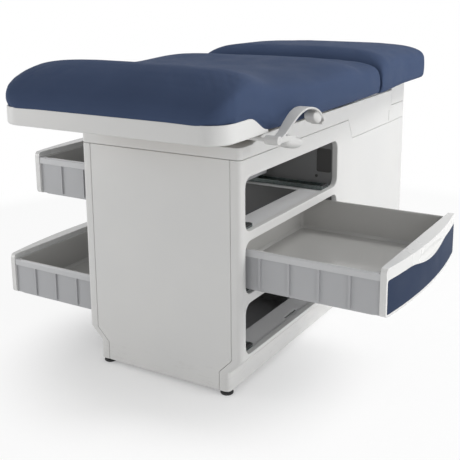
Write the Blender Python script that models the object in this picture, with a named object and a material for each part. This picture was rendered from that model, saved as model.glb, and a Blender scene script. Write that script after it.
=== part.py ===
"""Examination table: box cabinet with three side drawers, tilting back section, seat, leg rest and step.

Table coordinates, in metres: X across the table (the side with the release lever is +X), Y from the head
end of the cabinet (0) towards the foot, Z up from the floor. The TABLE empty carries every piece and puts
the middle of the whole footprint at the world origin.
"""

import math

import bmesh
import bpy
from mathutils import Vector

for old in list(bpy.data.objects):
    bpy.data.objects.remove(old, do_unlink=True)

# Clearances
CLEAR = 0.0003
SEAM_GAP = 0.0009

# Cabinet
BASE_WIDTH = 0.507
BASE_LENGTH = 1.192
FOOT_GAP = 0.013
FOOT_RADIUS = 0.018
FOOT_INSET = 0.020
FLOOR_THICK = 0.012
TOE_HEIGHT = 0.053
TOE_SLOPE = 0.039
TOE_DEPTH = 0.038
PANEL_WALL = 0.018
CORNER_RETURN = 0.030
CORNER_RADIUS = 0.014
SEAM_RISE = 0.049
SEAT_SEAM_DROP = 0.063
NOTCH_SETBACK = 0.080
NOTCH_RUN = 0.035

# Drawer compartments, counted from the lowest
OPEN_START = 0.025
OPEN_LENGTH = 0.568
OPEN_RISE = 0.010
OPEN_HEIGHT = 0.143
OPEN_WEB = 0.025
OPEN_RADIUS = 0.026
BULKHEAD_GAP = 0.004
BULKHEAD_THICK = 0.012
DECK_THICK = 0.006
DECK_DROP = 0.004
DECK_STRIP = 0.072
DECK_SLOT_LENGTH = 0.070
DECK_SLOT_WIDTH = 0.009
RECESS_WIDTH = 0.050
RECESS_HEIGHT = 0.075
RECESS_DEPTH = 0.004

# Drawer slides
SLIDE_INSET = 0.0245
SLIDE_WIDTH = 0.044
SLIDE_HEIGHT = 0.0125
SLIDE_FLOOR = 0.0062
SLIDE_WALL = 0.003
SLIDE_MARGIN = 0.010
RUNNER_WALL = 0.003
RUNNER_LENGTH = 0.085

# Drawers
DRAWER_SIDE_GAP = 0.011
DRAWER_LIFT = 0.0205
TUB_DROP = 0.0075
FRONT_LIFT = 0.013
DRAWER_TOP_GAP = 0.0065
DRAWER_END_GAP = 0.012
FRONT_RECESS = 0.001
FRONT_THICK = 0.016
FRONT_BOW = 0.0215
FRONT_RADIUS = 0.012
RIM_DROP = 0.014
RIM_HEIGHT = 0.021
RIM_STEP = 0.005
RIM_WIDTH = 0.010
TUB_WALL = 0.0045
TUB_FLOOR = 0.004
TUB_RADIUS = 0.018
RIB_PITCH = 0.082
RIB_START = 0.0785
RIB_WIDTH = 0.007
RIB_COUNT = 5
POST_WIDTH = 0.020
INSERT_BORDER = 0.007
INSERT_TOP_BORDER = 0.031
INSERT_DEPTH = 0.003
LOBE_WIDTH = 0.270
LOBE_DEPTH = 0.018
SCOOP_WIDTH = 0.200
SCOOP_HEIGHT = 0.030
SCOOP_DEPTH = 0.011
TOP_PULL = 0.213
MIDDLE_PULL = 0.3725
BOTTOM_PULL = 0.341

# Skirt and boards above the cabinet
SKIRT_WALL = 0.012
SKIRT_HEIGHT = 0.049
SKIRT_HEAD_DROP = 0.017
SKIRT_RISE_START = 0.060
SKIRT_RISE_RUN = 0.060
TOP_DECK_RISE = 0.009
TOP_DECK_THICK = 0.009
TOP_DECK_REACH = 0.0255
BOARD_THICK = 0.0294
SEAT_BOARD_INSET = 0.0085
SEAT_BOARD_SETBACK = 0.015
SEAT_BOARD_GAP = 0.005
BACK_BOARD_SIDE = 0.0575
BACK_BOARD_THICK = 0.0217
BACK_BOARD_SETBACK = 0.153

# Cushions: lengths from the head end, heights above the cushion's underside
HEAD_OVERHANG = 0.228
FOOT_OVERHANG = 0.070
DIVISION = 0.725
CUSHION_GAP = 0.003
CUSHION_LIFT = 0.0046
BACK_HALF_WIDTH = 0.350
HEAD_HALF_WIDTH = 0.342
SEAT_HALF_WIDTH = 0.324
PILLOW_REACH = 0.1177
PILLOW_HEIGHT = 0.1704
NECK_RUN = 0.1371
NECK_HEIGHT = 0.1392
DIP_RUN = 0.2374
DIP_HEIGHT = 0.1211
RISE_RUN = 0.2263
RISE_HEIGHT = 0.1261
TAIL_RUN = 0.1049
TAIL_HEIGHT = 0.1088
SEAT_PEAK_REACH = 0.0535
SEAT_HEIGHT = 0.1374
SEAT_MIDDLE_RUN = 0.200
SEAT_MIDDLE_HEIGHT = 0.1354
SEAT_FOOT_REACH = 0.062
SEAT_FOOT_HEIGHT = 0.1218
SEAT_TAPER = 0.3235
HEAD_ROUND = 0.263
HEAD_CORNER = 0.0775
FOOT_ROUND = 0.060
FOOT_CORNER = 0.070
SEAT_START_ROUND = 0.0727
CROWN = 0.003
SHOULDER = 0.050
DRAW_IN = 0.013

# Head pan
PAN_HALF_WIDTH = 0.336
PAN_SETBACK = 0.0055
PAN_RADIUS = 0.062
PAN_WALL = 0.004
PAN_FLOOR = 0.0035
PAN_HEIGHT = 0.0473
PAN_ARM = 0.2145
PAN_SHOULDER_REACH = 0.1275
PAN_ARM_HEIGHT = 0.010
PAN_TAIL_INSET = 0.036

# Back hinge
HINGE_SETBACK = 0.0605
HINGE_RISE = 0.0683
EAR_THICK = 0.006
EAR_RADIUS = 0.014
EAR_REACH = 0.100
PIN_RADIUS = 0.004
PIN_HEAD_RADIUS = 0.008
PIN_HEAD_THICK = 0.003

# Gas spring, from its anchor under the hinge to its bracket under the back board
SPRING_SETBACK = 0.070
SPRING_ANCHOR_RISE = 0.038
SPRING_REACH = 0.430
SPRING_END_DROP = 0.017
SPRING_TUBE_RADIUS = 0.011
SPRING_ROD_RADIUS = 0.005
SPRING_TUBE_LENGTH = 0.235
SPRING_EYE_RADIUS = 0.009
SPRING_EYE_THICK = 0.008
SPRING_TONGUE = 0.003
BRACKET_WALL = 0.004
BRACKET_LENGTH = 0.028

# Release lever
LEVER_SETBACK = 0.028
LEVER_DROP = 0.0092
LEVER_WIDTH = 0.033
LEVER_STRAP = 0.005
LEVER_SHAFT_RADIUS = 0.005
LEVER_HUB_RADIUS = 0.011
LEVER_SIDE_GAP = 0.004
LEVER_BLOCK = 0.036

# Leg rest and step at the foot end
CAP_LENGTH = 0.136
CAP_RISE = 0.058
LEG_PAN_SETBACK = 0.025
LEG_PAN_GAP = 0.0265
LEG_PAN_RISE = 0.012
LEG_PAN_THICK = 0.014
LEG_PAD_MARGIN = 0.020
LEG_PAD_THICK = 0.022
RAIL_HEIGHT = 0.010
RAIL_LAP = 0.018
STEP_SIDE = 0.0205
STEP_LENGTH = 0.392
STEP_HEIGHT = 0.140
STEP_SHEET = 0.004
STEP_GAP = 0.004
STEP_RAIL_WIDTH = 0.030
TREAD_MARGIN = 0.012
TREAD_LENGTH = 0.252
TREAD_THICK = 0.003

# Worked-out places across and along the table
HALF = BASE_WIDTH / 2
INSIDE_HALF = HALF - PANEL_WALL - CLEAR
FRONT_X = HALF - FRONT_RECESS
LEVER_X = max(BACK_HALF_WIDTH, PAN_HALF_WIDTH) + LEVER_SIDE_GAP
OPEN_END = OPEN_START + OPEN_LENGTH
BULKHEAD_Y = OPEN_END + BULKHEAD_GAP
NOTCH_START = OPEN_END + NOTCH_SETBACK
NOTCH_END = NOTCH_START + NOTCH_RUN
DRAWER_HALF = OPEN_LENGTH / 2 - DRAWER_SIDE_GAP
DRAWER_Y = OPEN_START + OPEN_LENGTH / 2
BACK_HEAD = -HEAD_OVERHANG
SEAT_FOOT = BASE_LENGTH + FOOT_OVERHANG
HINGE_Y = DIVISION - HINGE_SETBACK
TOP_DECK_END = HINGE_Y + TOP_DECK_REACH
SPRING_ANCHOR_Y = HINGE_Y - SPRING_SETBACK
SPRING_END_Y = SPRING_ANCHOR_Y - SPRING_REACH
BACK_BOARD_START = BACK_HEAD + BACK_BOARD_SETBACK
PAN_HEAD = BACK_HEAD + PAN_SETBACK
PAN_ARM_END = PAN_HEAD + PAN_ARM
PAN_SHOULDER = PAN_HEAD + PAN_SHOULDER_REACH
LEVER_Y = PAN_ARM_END - LEVER_SETBACK
SEAT_BOARD_START = DIVISION + SEAT_BOARD_SETBACK
CAP_START = BASE_LENGTH - CAP_LENGTH
LEG_PAN_START = SEAT_BOARD_START + LEG_PAN_SETBACK
STEP_START = BASE_LENGTH - STEP_LENGTH

# Worked-out heights, from the floor up
FLOOR_TOP = FOOT_GAP + FLOOR_THICK
TOE_KNEE = FOOT_GAP + TOE_HEIGHT
TOE_TOP = TOE_KNEE + TOE_SLOPE
STEP_TOP = FLOOR_TOP + STEP_HEIGHT
OPEN_BOTTOM = TOE_TOP + OPEN_RISE
OPEN_PITCH = OPEN_HEIGHT + OPEN_WEB
OPEN_TOP = OPEN_BOTTOM + 2 * OPEN_PITCH + OPEN_HEIGHT
TOP_DECK_HEIGHT = OPEN_TOP + TOP_DECK_RISE
SEAM_HEIGHT = OPEN_TOP + SEAM_RISE
SEAT_SEAM_HEIGHT = SEAM_HEIGHT - SEAT_SEAM_DROP
SKIRT_TOP = SEAM_HEIGHT + SKIRT_HEIGHT
SKIRT_HEAD_TOP = SKIRT_TOP - SKIRT_HEAD_DROP
BOARD_BOTTOM = SKIRT_TOP + CLEAR
BOARD_TOP = BOARD_BOTTOM + BOARD_THICK
CAP_BOTTOM = SEAT_SEAM_HEIGHT + CAP_RISE
CAP_TOP = BOARD_TOP + CLEAR
LEG_PAN_BOTTOM = CAP_BOTTOM + LEG_PAN_RISE
CUSHION_BOTTOM = BOARD_TOP + CUSHION_LIFT
PAN_RIM = BOARD_TOP + PAN_HEIGHT
HINGE_Z = BOARD_TOP + HINGE_RISE
SPRING_ANCHOR_Z = TOP_DECK_HEIGHT + TOP_DECK_THICK + SPRING_ANCHOR_RISE
SPRING_END_Z = BOARD_TOP - BACK_BOARD_THICK - SPRING_END_DROP
LEVER_Z = BOARD_TOP - LEVER_DROP

# The drawers as they stand in the picture: name, level from below, side they open to, how far out
DRAWERS = (
    ("bottom", 0, -1, BOTTOM_PULL),
    ("middle", 1, 1, MIDDLE_PULL),
    ("top", 2, -1, TOP_PULL),
)

reach_right = FRONT_X + MIDDLE_PULL + FRONT_BOW
reach_left = FRONT_X + max(TOP_PULL, BOTTOM_PULL) + FRONT_BOW
TABLE = bpy.data.objects.new("table", None)
TABLE.location = ((reach_left - reach_right) / 2, -(BACK_HEAD + SEAT_FOOT) / 2, 0)
bpy.context.scene.collection.objects.link(TABLE)


def material(name, colour, roughness, metallic=0.0):
    """A plain Principled surface."""
    made = bpy.data.materials.new(name)
    made.use_nodes = True
    shader = made.node_tree.nodes["Principled BSDF"]
    shader.inputs["Base Color"].default_value = (*colour, 1)
    shader.inputs["Roughness"].default_value = roughness
    shader.inputs["Metallic"].default_value = metallic
    return made


WHITE = material("white_moulding", (0.72, 0.72, 0.71), 0.45)
GREY = material("grey_moulding", (0.40, 0.41, 0.42), 0.50)
DARK = material("dark_sheet", (0.09, 0.09, 0.09), 0.55)
DECK = material("painted_sheet", (0.42, 0.42, 0.43), 0.45)
STEEL = material("zinc_steel", (0.55, 0.56, 0.57), 0.30, 1.0)
BLACK = material("black_paint", (0.02, 0.02, 0.02), 0.35)
RUBBER = material("black_rubber", (0.02, 0.02, 0.02), 0.70)
VINYL = material("blue_vinyl", (0.060, 0.082, 0.145), 0.50)
INSERT = material("blue_insert", (0.060, 0.082, 0.145), 0.35)
BOARD = material("plywood_board", (0.20, 0.15, 0.10), 0.60)


def make(name, mesh, surface, parent=TABLE, location=(0, 0, 0)):
    """Wrap a mesh as a named piece of the table."""
    piece = bpy.data.objects.new(name, mesh)
    piece.data.materials.append(surface)
    piece.parent = parent
    piece.location = location
    bpy.context.scene.collection.objects.link(piece)
    mesh.shade_smooth()
    mesh.set_sharp_from_angle(angle=math.radians(35))
    return piece


def to_mesh(bm, name):
    """Turn a finished bmesh into a mesh with its faces pointing out."""
    bm.normal_update()
    bmesh.ops.recalc_face_normals(bm, faces=bm.faces)
    mesh = bpy.data.meshes.new(name)
    bm.to_mesh(mesh)
    bm.free()
    return mesh


def loft(name, loops, ring=False):
    """Skin loops of equal count; the ends are capped, or joined to each other for a ring."""
    bm = bmesh.new()
    rows = [[bm.verts.new(point) for point in loop] for loop in loops]
    count = len(rows[0])
    pairs = list(zip(rows, rows[1:]))
    if ring:
        pairs.append((rows[-1], rows[0]))
    for low, high in pairs:
        for i in range(count):
            j = (i + 1) % count
            bm.faces.new((low[i], low[j], high[j], high[i]))
    if not ring:
        bm.faces.new(rows[0])
        bm.faces.new(rows[-1])
    return to_mesh(bm, name)


def place(axis, along, u, v):
    """A point with one coordinate along the axis and the other two in X, Y, Z order."""
    if axis == "X":
        return Vector((along, u, v))
    if axis == "Y":
        return Vector((u, along, v))
    return Vector((u, v, along))


def prism(name, outline, axis, start, end):
    """An outline extruded along one axis."""
    return loft(name, [[place(axis, along, u, v) for u, v in outline] for along in (start, end)])


def ring_prism(name, outer, inner, low, high):
    """A flat frame: the outer outline less the inner one, from low to high."""
    loops = ((outer, low), (outer, high), (inner, high), (inner, low))
    return loft(name, [[Vector((x, y, z)) for x, y in outline] for outline, z in loops], ring=True)


def box(name, x, y, z):
    """A block from three (low, high) pairs."""
    outline = ((x[0], y[0]), (x[1], y[0]), (x[1], y[1]), (x[0], y[1]))
    return prism(name, outline, "Z", z[0], z[1])


def arc(centre, radius, start, end, steps):
    """Points on an arc, angles in degrees."""
    angles = [math.radians(start + (end - start) * i / steps) for i in range(steps + 1)]
    return [(centre[0] + radius * math.cos(a), centre[1] + radius * math.sin(a)) for a in angles]


def rounded(u, v, radius, steps=4):
    """A rectangle from two (low, high) pairs, with rounded corners."""
    corners = (
        ((u[1] - radius, v[0] + radius), -90),
        ((u[1] - radius, v[1] - radius), 0),
        ((u[0] + radius, v[1] - radius), 90),
        ((u[0] + radius, v[0] + radius), 180),
    )
    points = []
    for centre, start in corners:
        points += arc(centre, radius, start, start + 90, steps)
    return points


def disc(centre, radius, steps):
    """A full circle of points."""
    return arc(centre, radius, 0, 360 - 360 / steps, steps - 1)


def turned(name, profile, steps=16):
    """A solid of revolution about Z from (radius, height) pairs."""
    loops = [[Vector((x, y, z)) for x, y in disc((0, 0), radius, steps)] for radius, z in profile]
    return loft(name, loops)


def combine(piece, tool_mesh, operation):
    """Add or take away a shape with a Boolean modifier and a hidden tool object."""
    tool = make(f"{piece.name}.tool", tool_mesh, piece.data.materials[0], piece.parent, piece.location)
    tool.hide_render = True
    tool.display_type = "WIRE"
    step = piece.modifiers.new(operation.title(), "BOOLEAN")
    step.operation = operation
    step.solver = "EXACT"
    step.object = tool


def cut(piece, *tool_meshes):
    """Take shapes away from a piece."""
    for tool_mesh in tool_meshes:
        combine(piece, tool_mesh, "DIFFERENCE")


def add(piece, *tool_meshes):
    """Fuse shapes to a piece."""
    for tool_mesh in tool_meshes:
        combine(piece, tool_mesh, "UNION")


def toe_inset(height):
    """How far the cabinet wall stands back at a height."""
    share = (TOE_TOP - height) / (TOE_TOP - TOE_KNEE)
    return TOE_DEPTH * min(1, max(0, share))


def wall_outline(half_width, low, high):
    """An upright panel's outline in X and Z, following the toe space at both sides."""
    heights = [low] + [z for z in (TOE_KNEE, TOE_TOP) if low < z < high] + [high]
    right = [(half_width - toe_inset(z), z) for z in heights]
    return right + [(-x, z) for x, z in reversed(right)]


def level_bottom(level):
    """Lower edge of a compartment's opening."""
    return OPEN_BOTTOM + OPEN_PITCH * level


def blend(y, knots):
    """Height through (place, height) knots, flat at each knot."""
    if y <= knots[0][0]:
        return knots[0][1]
    for (y0, z0), (y1, z1) in zip(knots, knots[1:]):
        if y <= y1:
            t = (y - y0) / (y1 - y0)
            return z0 + (z1 - z0) * t * t * (3 - 2 * t)
    return knots[-1][1]


def curve(y, knots):
    """Height on a smooth curve through (place, height) knots, level before the first and after the last."""
    places = [place for place, height in knots]
    heights = [height for place, height in knots]
    last = len(knots) - 1
    slopes = [0] * len(knots)
    for i in range(1, last):
        slopes[i] = (heights[i + 1] - heights[i - 1]) / (places[i + 1] - places[i - 1])
    y = min(max(y, places[0]), places[last])
    i = max(i for i in range(last) if i == 0 or places[i] <= y)
    span = places[i + 1] - places[i]
    t = (y - places[i]) / span
    start = heights[i] * (1 + 2 * t) + slopes[i] * span * t
    end = heights[i + 1] * (3 - 2 * t) - slopes[i + 1] * span * (1 - t)
    return start * (1 - t) ** 2 + end * t ** 2


# Cabinet shell


def side_panel(name, side):
    """Moulded side: wraps both ends, steps in at the toe, open for three drawers, notched at the hinge."""
    def plan(inset):
        shape = [(HALF - CORNER_RETURN, 0)]
        shape += arc((HALF - CORNER_RADIUS, CORNER_RADIUS), CORNER_RADIUS, -90, 0, 4)
        shape += arc((HALF - CORNER_RADIUS, BASE_LENGTH - CORNER_RADIUS), CORNER_RADIUS, 0, 90, 4)
        shape += [(HALF - CORNER_RETURN, BASE_LENGTH), (HALF - CORNER_RETURN, BASE_LENGTH - PANEL_WALL)]
        shape += [(HALF - PANEL_WALL, BASE_LENGTH - PANEL_WALL), (HALF - PANEL_WALL, PANEL_WALL)]
        shape += [(HALF - CORNER_RETURN, PANEL_WALL)]
        return [(side * (x - inset), y) for x, y in shape]

    levels = (FOOT_GAP, TOE_KNEE, TOE_TOP, SEAM_HEIGHT)
    loops = [[Vector((x, y, z)) for x, y in plan(toe_inset(z))] for z in levels]
    panel = make(name, loft(name, loops), WHITE)
    past_end = BASE_LENGTH + PANEL_WALL
    above = SEAM_HEIGHT + PANEL_WALL
    notch = ((NOTCH_START, above), (NOTCH_START, SEAM_HEIGHT), (NOTCH_END, SEAT_SEAM_HEIGHT),
             (past_end, SEAT_SEAM_HEIGHT), (past_end, above))
    cut(panel, prism("notch", notch, "X", -BASE_WIDTH, BASE_WIDTH))
    for level in range(len(DRAWERS)):
        low = level_bottom(level)
        opening = rounded((OPEN_START, OPEN_END), (low, low + OPEN_HEIGHT), OPEN_RADIUS)
        cut(panel, prism("opening", opening, "X", side * HALF / 2, side * BASE_WIDTH))


def end_panel(name, y, top):
    """Flat end between the two side panels' returns."""
    outline = wall_outline(HALF - CORNER_RETURN - SEAM_GAP, FOOT_GAP, top)
    return make(name, prism(name, outline, "Y", y, y + PANEL_WALL), WHITE)


side_panel("right_side_panel", 1)
side_panel("left_side_panel", -1)
end_panel("head_end_panel", 0, SEAM_HEIGHT)
foot_panel = end_panel("foot_end_panel", BASE_LENGTH - PANEL_WALL, SEAT_SEAM_HEIGHT)
step_half = HALF - CORNER_RETURN - TOE_DEPTH - STEP_SIDE
step_mouth = box("mouth", (-step_half - STEP_GAP, step_half + STEP_GAP),
                 (BASE_LENGTH - 2 * PANEL_WALL, BASE_LENGTH + PANEL_WALL),
                 (FLOOR_TOP, STEP_TOP + TREAD_THICK + STEP_GAP))
cut(foot_panel, step_mouth)

floor_half = HALF - TOE_DEPTH - PANEL_WALL - CLEAR
floor_mesh = box("base_floor", (-floor_half, floor_half),
                 (PANEL_WALL + CLEAR, BASE_LENGTH - PANEL_WALL - CLEAR), (FOOT_GAP, FLOOR_TOP))
base_floor = make("base_floor", floor_mesh, DECK)
step_rail_top = FLOOR_TOP + RAIL_HEIGHT
for side in (1, -1):
    rail_x = sorted((side * step_half, side * (step_half - STEP_RAIL_WIDTH)))
    add(base_floor, box("step_rail", rail_x, (STEP_START, BASE_LENGTH - 2 * PANEL_WALL),
                        (FLOOR_TOP - CLEAR, step_rail_top)))

foot_profile = ((FOOT_RADIUS * 0.9, 0), (FOOT_RADIUS, 0.002), (FOOT_RADIUS, 0.006),
                (FOOT_RADIUS * 0.55, FOOT_GAP - CLEAR))
foot_x = HALF - TOE_DEPTH - FOOT_RADIUS - 0.0005
for end, foot_y in (("head", FOOT_INSET), ("foot", BASE_LENGTH - FOOT_INSET)):
    for hand, side in (("right", 1), ("left", -1)):
        name = f"levelling_foot_{end}_{hand}"
        make(name, turned(name, foot_profile), RUBBER, location=(side * foot_x, foot_y, 0))

# Inside of the cabinet: bulkhead, drawer decks and the deck over them

bulkhead_outline = wall_outline(INSIDE_HALF, FLOOR_TOP + CLEAR, TOP_DECK_HEIGHT - CLEAR)
bulkhead_mesh = prism("foot_bulkhead", bulkhead_outline, "Y", BULKHEAD_Y, BULKHEAD_Y + BULKHEAD_THICK)
bulkhead = make("foot_bulkhead", bulkhead_mesh, DARK)
for level in range(len(DRAWERS)):
    recess_low = level_bottom(level) + OPEN_HEIGHT / 4
    for side in (1, -1):
        recess_edge = INSIDE_HALF - 0.004
        recess_x = sorted((side * recess_edge, side * (recess_edge - RECESS_WIDTH)))
        recess = rounded(recess_x, (recess_low, recess_low + RECESS_HEIGHT), 0.006, 2)
        cut(bulkhead, prism("recess", recess, "Y", OPEN_END, BULKHEAD_Y + RECESS_DEPTH))
        hole = disc((side * (recess_edge - RECESS_WIDTH), recess_low - 0.014), 0.005, 10)
        cut(bulkhead, prism("hole", hole, "Y", OPEN_END, BULKHEAD_Y + RECESS_DEPTH))

deck_start = PANEL_WALL + CLEAR
deck_end = BULKHEAD_Y - CLEAR
slide_edge = OPEN_START + SLIDE_INSET + SLIDE_WIDTH + SLIDE_MARGIN
for drawer, level, side, pull in DRAWERS:
    deck_top = level_bottom(level) - DECK_DROP
    deck_half = INSIDE_HALF - toe_inset(deck_top - DECK_THICK)
    strip = deck_half - DECK_STRIP
    outer = ((-deck_half, deck_start), (deck_half, deck_start),
             (deck_half, deck_end), (-deck_half, deck_end))
    hole_end = OPEN_START + OPEN_END - slide_edge
    inner = ((-strip, slide_edge), (strip, slide_edge), (strip, hole_end), (-strip, hole_end))
    name = f"{drawer}_drawer_deck"
    deck = make(name, ring_prism(name, outer, inner, deck_top - DECK_THICK, deck_top), DECK)
    if level == 0:
        for hand in (1, -1):
            slot_x = hand * (deck_half - 0.016)
            slot = rounded((slot_x - DECK_SLOT_WIDTH / 2, slot_x + DECK_SLOT_WIDTH / 2),
                           (DRAWER_Y, DRAWER_Y + DECK_SLOT_LENGTH), DECK_SLOT_WIDTH * 0.49)
            cut(deck, prism("slot", slot, "Z", deck_top - 2 * DECK_THICK, deck_top + DECK_THICK))

top_deck_mesh = box("top_deck", (-INSIDE_HALF, INSIDE_HALF), (PANEL_WALL + CLEAR, TOP_DECK_END),
                    (TOP_DECK_HEIGHT, TOP_DECK_HEIGHT + TOP_DECK_THICK))
make("top_deck", top_deck_mesh, DECK)
top_deck_top = TOP_DECK_HEIGHT + TOP_DECK_THICK

# Drawers: local X points out of the front; a left-hand drawer is the mirror image


def front_face(y):
    """How far the bowed front stands out of its corner at a place across it."""
    return FRONT_BOW * (1 - (y / DRAWER_HALF) ** 2)


def corner_drop(y, half, radius):
    """Height lost to a rounded corner at a place near the end."""
    past = abs(y) - (half - radius)
    if past <= 0:
        return 0
    return radius - math.sqrt(max(0, radius * radius - past * past))


def bowed_slab(name, side, pull, places, low, high, back, face):
    """A slab that follows the bowed front: low, high, back and face are functions of the place across."""
    loops = []
    for y in places:
        corners = ((back(y), low(y)), (face(y), low(y)), (face(y), high(y)), (back(y), high(y)))
        loops.append([Vector((side * (x + pull), DRAWER_Y + y, z)) for x, z in corners])
    return loft(name, loops)


def spread(half, count, radius):
    """Places across a front, closer together in its rounded corners."""
    straight = half - radius
    ends = [straight + radius * math.sin(math.radians(a)) for a in (30, 60, 90)]
    middle = [-straight + 2 * straight * i / count for i in range(count + 1)]
    return [-y for y in reversed(ends)] + middle + ends


def lobe(y):
    """How far the scoop's white lobe dips into the insert."""
    if abs(y) >= LOBE_WIDTH / 2:
        return 0
    return LOBE_DEPTH * (0.5 + 0.5 * math.cos(2 * math.pi * y / LOBE_WIDTH)) ** 0.6


def tub_loops(x, y, low, floor, high):
    """Skin of the tub from its outer bottom, up over the rolled rim and down to its inner floor."""
    inside = max(RIM_WIDTH, RIM_STEP + TUB_WALL)
    levels = (
        (RIM_STEP + 0.002, low),
        (RIM_STEP, low + 0.002),
        (RIM_STEP, high - RIM_HEIGHT),
        (0, high - RIM_HEIGHT + 0.002),
        (0, high - 0.004),
        (0.003, high),
        (inside - 0.002, high),
        (inside, high - 0.004),
        (inside + 0.003, floor + 0.008),
        (inside + 0.010, floor),
    )
    loops = []
    for inset, z in levels:
        outline = rounded((x[0] + inset, x[1] - inset), (y[0] + inset, y[1] - inset),
                          TUB_RADIUS - inset * 0.5, 3)
        loops.append([Vector((u, v, z)) for u, v in outline])
    return loops


for drawer, level, side, pull in DRAWERS:
    low = level_bottom(level) + DRAWER_LIFT
    high = level_bottom(level) + OPEN_HEIGHT - DRAWER_TOP_GAP
    front_back = FRONT_X - FRONT_THICK
    ends = sorted((side * (pull - FRONT_X + DRAWER_END_GAP), side * (pull + front_back - CLEAR)))
    rim = high - RIM_DROP
    name = f"{drawer}_drawer_tub"
    tub_y = (DRAWER_Y - DRAWER_HALF + 0.002, DRAWER_Y + DRAWER_HALF - 0.002)
    tub_low = low - TUB_DROP
    tub = make(name, loft(name, tub_loops(ends, tub_y, tub_low, low + TUB_FLOOR, rim)), GREY)
    under_y = (tub_y[0] + RIM_STEP + TUB_WALL, tub_y[1] - RIM_STEP - TUB_WALL)
    cut(tub, box("underside", (ends[0] - 0.01, ends[1] + 0.01), under_y, (tub_low - 0.01, low)))
    for i in range(RIB_COUNT):
        rib_x = side * (pull + front_back - RIB_START - RIB_PITCH * i)
        for wall_y, inward in ((tub_y[0], 1), (tub_y[1], -1)):
            rib_y = sorted((wall_y + inward * 0.0005, wall_y + inward * (RIM_STEP + 0.0025)))
            add(tub, box("rib", (rib_x - RIB_WIDTH / 2, rib_x + RIB_WIDTH / 2), rib_y,
                         (tub_low + 0.007, rim - RIM_HEIGHT + 0.004)))

    tub_end = pull + front_back - CLEAR - 0.0001
    under_rim = rim - RIM_HEIGHT + 0.003
    for wall_y, inward in ((tub_y[0] + 0.0001, 1), (tub_y[1] - 0.0001, -1)):
        for face, bottom, top in ((RIM_STEP, tub_low + 0.0022, under_rim),
                                  (0, under_rim - 0.001, rim - 0.001)):
            post = ((POST_WIDTH, face), (0, face), (0, TUB_RADIUS * 0.9), (RIM_WIDTH * 0.7, RIM_WIDTH * 1.1),
                    (POST_WIDTH, RIM_STEP + TUB_WALL * 0.45))
            outline = [(side * (tub_end - back), wall_y + inward * across) for back, across in post]
            add(tub, prism("post", outline, "Z", bottom, top))

    name = f"{drawer}_drawer_front"
    front_low = level_bottom(level) + FRONT_LIFT
    places = spread(DRAWER_HALF, 12, FRONT_RADIUS)
    front = make(name, bowed_slab(
        name, side, pull, places,
        lambda y: front_low + corner_drop(y, DRAWER_HALF, FRONT_RADIUS),
        lambda y: high - corner_drop(y, DRAWER_HALF, FRONT_RADIUS),
        lambda y: front_back, lambda y: FRONT_X + front_face(y)), WHITE)
    insert_half = DRAWER_HALF - INSERT_BORDER
    insert_low = front_low + INSERT_BORDER
    insert_high = high - INSERT_TOP_BORDER
    insert_radius = FRONT_RADIUS - INSERT_BORDER

    def insert_slab(label, grow, out):
        half = insert_half + grow
        radius = insert_radius + grow
        return bowed_slab(
            label, side, pull, spread(half, 22, radius),
            lambda y: insert_low - grow + corner_drop(y, half, radius),
            lambda y: insert_high + grow - lobe(y) - corner_drop(y, half, radius),
            lambda y: FRONT_X + front_face(y) - INSERT_DEPTH - grow,
            lambda y: FRONT_X + front_face(y) + out)

    cut(front, insert_slab("pocket", CLEAR, 0.010))
    bm = bmesh.new()
    bmesh.ops.create_uvsphere(bm, u_segments=20, v_segments=10, radius=0.5)
    scoop_z = insert_high + SCOOP_HEIGHT * 0.10
    for vert in bm.verts:
        x, y, z = vert.co
        vert.co = (side * (FRONT_X + FRONT_BOW + pull + x * 2 * SCOOP_DEPTH), DRAWER_Y + y * SCOOP_WIDTH,
                   scoop_z + z * SCOOP_HEIGHT)
    cut(front, to_mesh(bm, "scoop"))
    name = f"{drawer}_drawer_insert"
    make(name, insert_slab(name, 0, 0.0002), INSERT)

    deck_top = level_bottom(level) - DECK_DROP
    floor_top = deck_top + CLEAR + SLIDE_FLOOR
    far_slide = OPEN_END - SLIDE_INSET - SLIDE_WIDTH
    for end, slide_y in (("head", OPEN_START + SLIDE_INSET), ("foot", far_slide)):
        y0, y1 = slide_y, slide_y + SLIDE_WIDTH
        z0, z1 = deck_top + CLEAR, deck_top + CLEAR + SLIDE_HEIGHT
        channel = ((y0, z0), (y1, z0), (y1, z1), (y1 - SLIDE_WALL, z1), (y1 - SLIDE_WALL, floor_top),
                   (y0 + SLIDE_WALL, floor_top), (y0 + SLIDE_WALL, z1), (y0, z1))
        name = f"{drawer}_slide_channel_{end}"
        channel_half = INSIDE_HALF - toe_inset(z0) - CLEAR
        make(name, prism(name, channel, "X", -channel_half, channel_half), STEEL)
        y0, y1 = y0 + SLIDE_WALL + 0.001, y1 - SLIDE_WALL - 0.001
        z0, z1 = floor_top + CLEAR, low - CLEAR
        runner = ((y0, z0), (y0 + RUNNER_WALL, z0), (y0 + RUNNER_WALL, z1 - RUNNER_WALL),
                  (y1 - RUNNER_WALL, z1 - RUNNER_WALL), (y1 - RUNNER_WALL, z0),
                  (y1, z0), (y1, z1), (y0, z1))
        name = f"{drawer}_drawer_runner_{end}"
        runner_start = pull - FRONT_X + DRAWER_END_GAP + TUB_RADIUS
        runner_x = sorted((side * runner_start, side * (runner_start + RUNNER_LENGTH)))
        make(name, prism(name, runner, "X", *runner_x), STEEL)

# Skirt round the top of the cabinet

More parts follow.
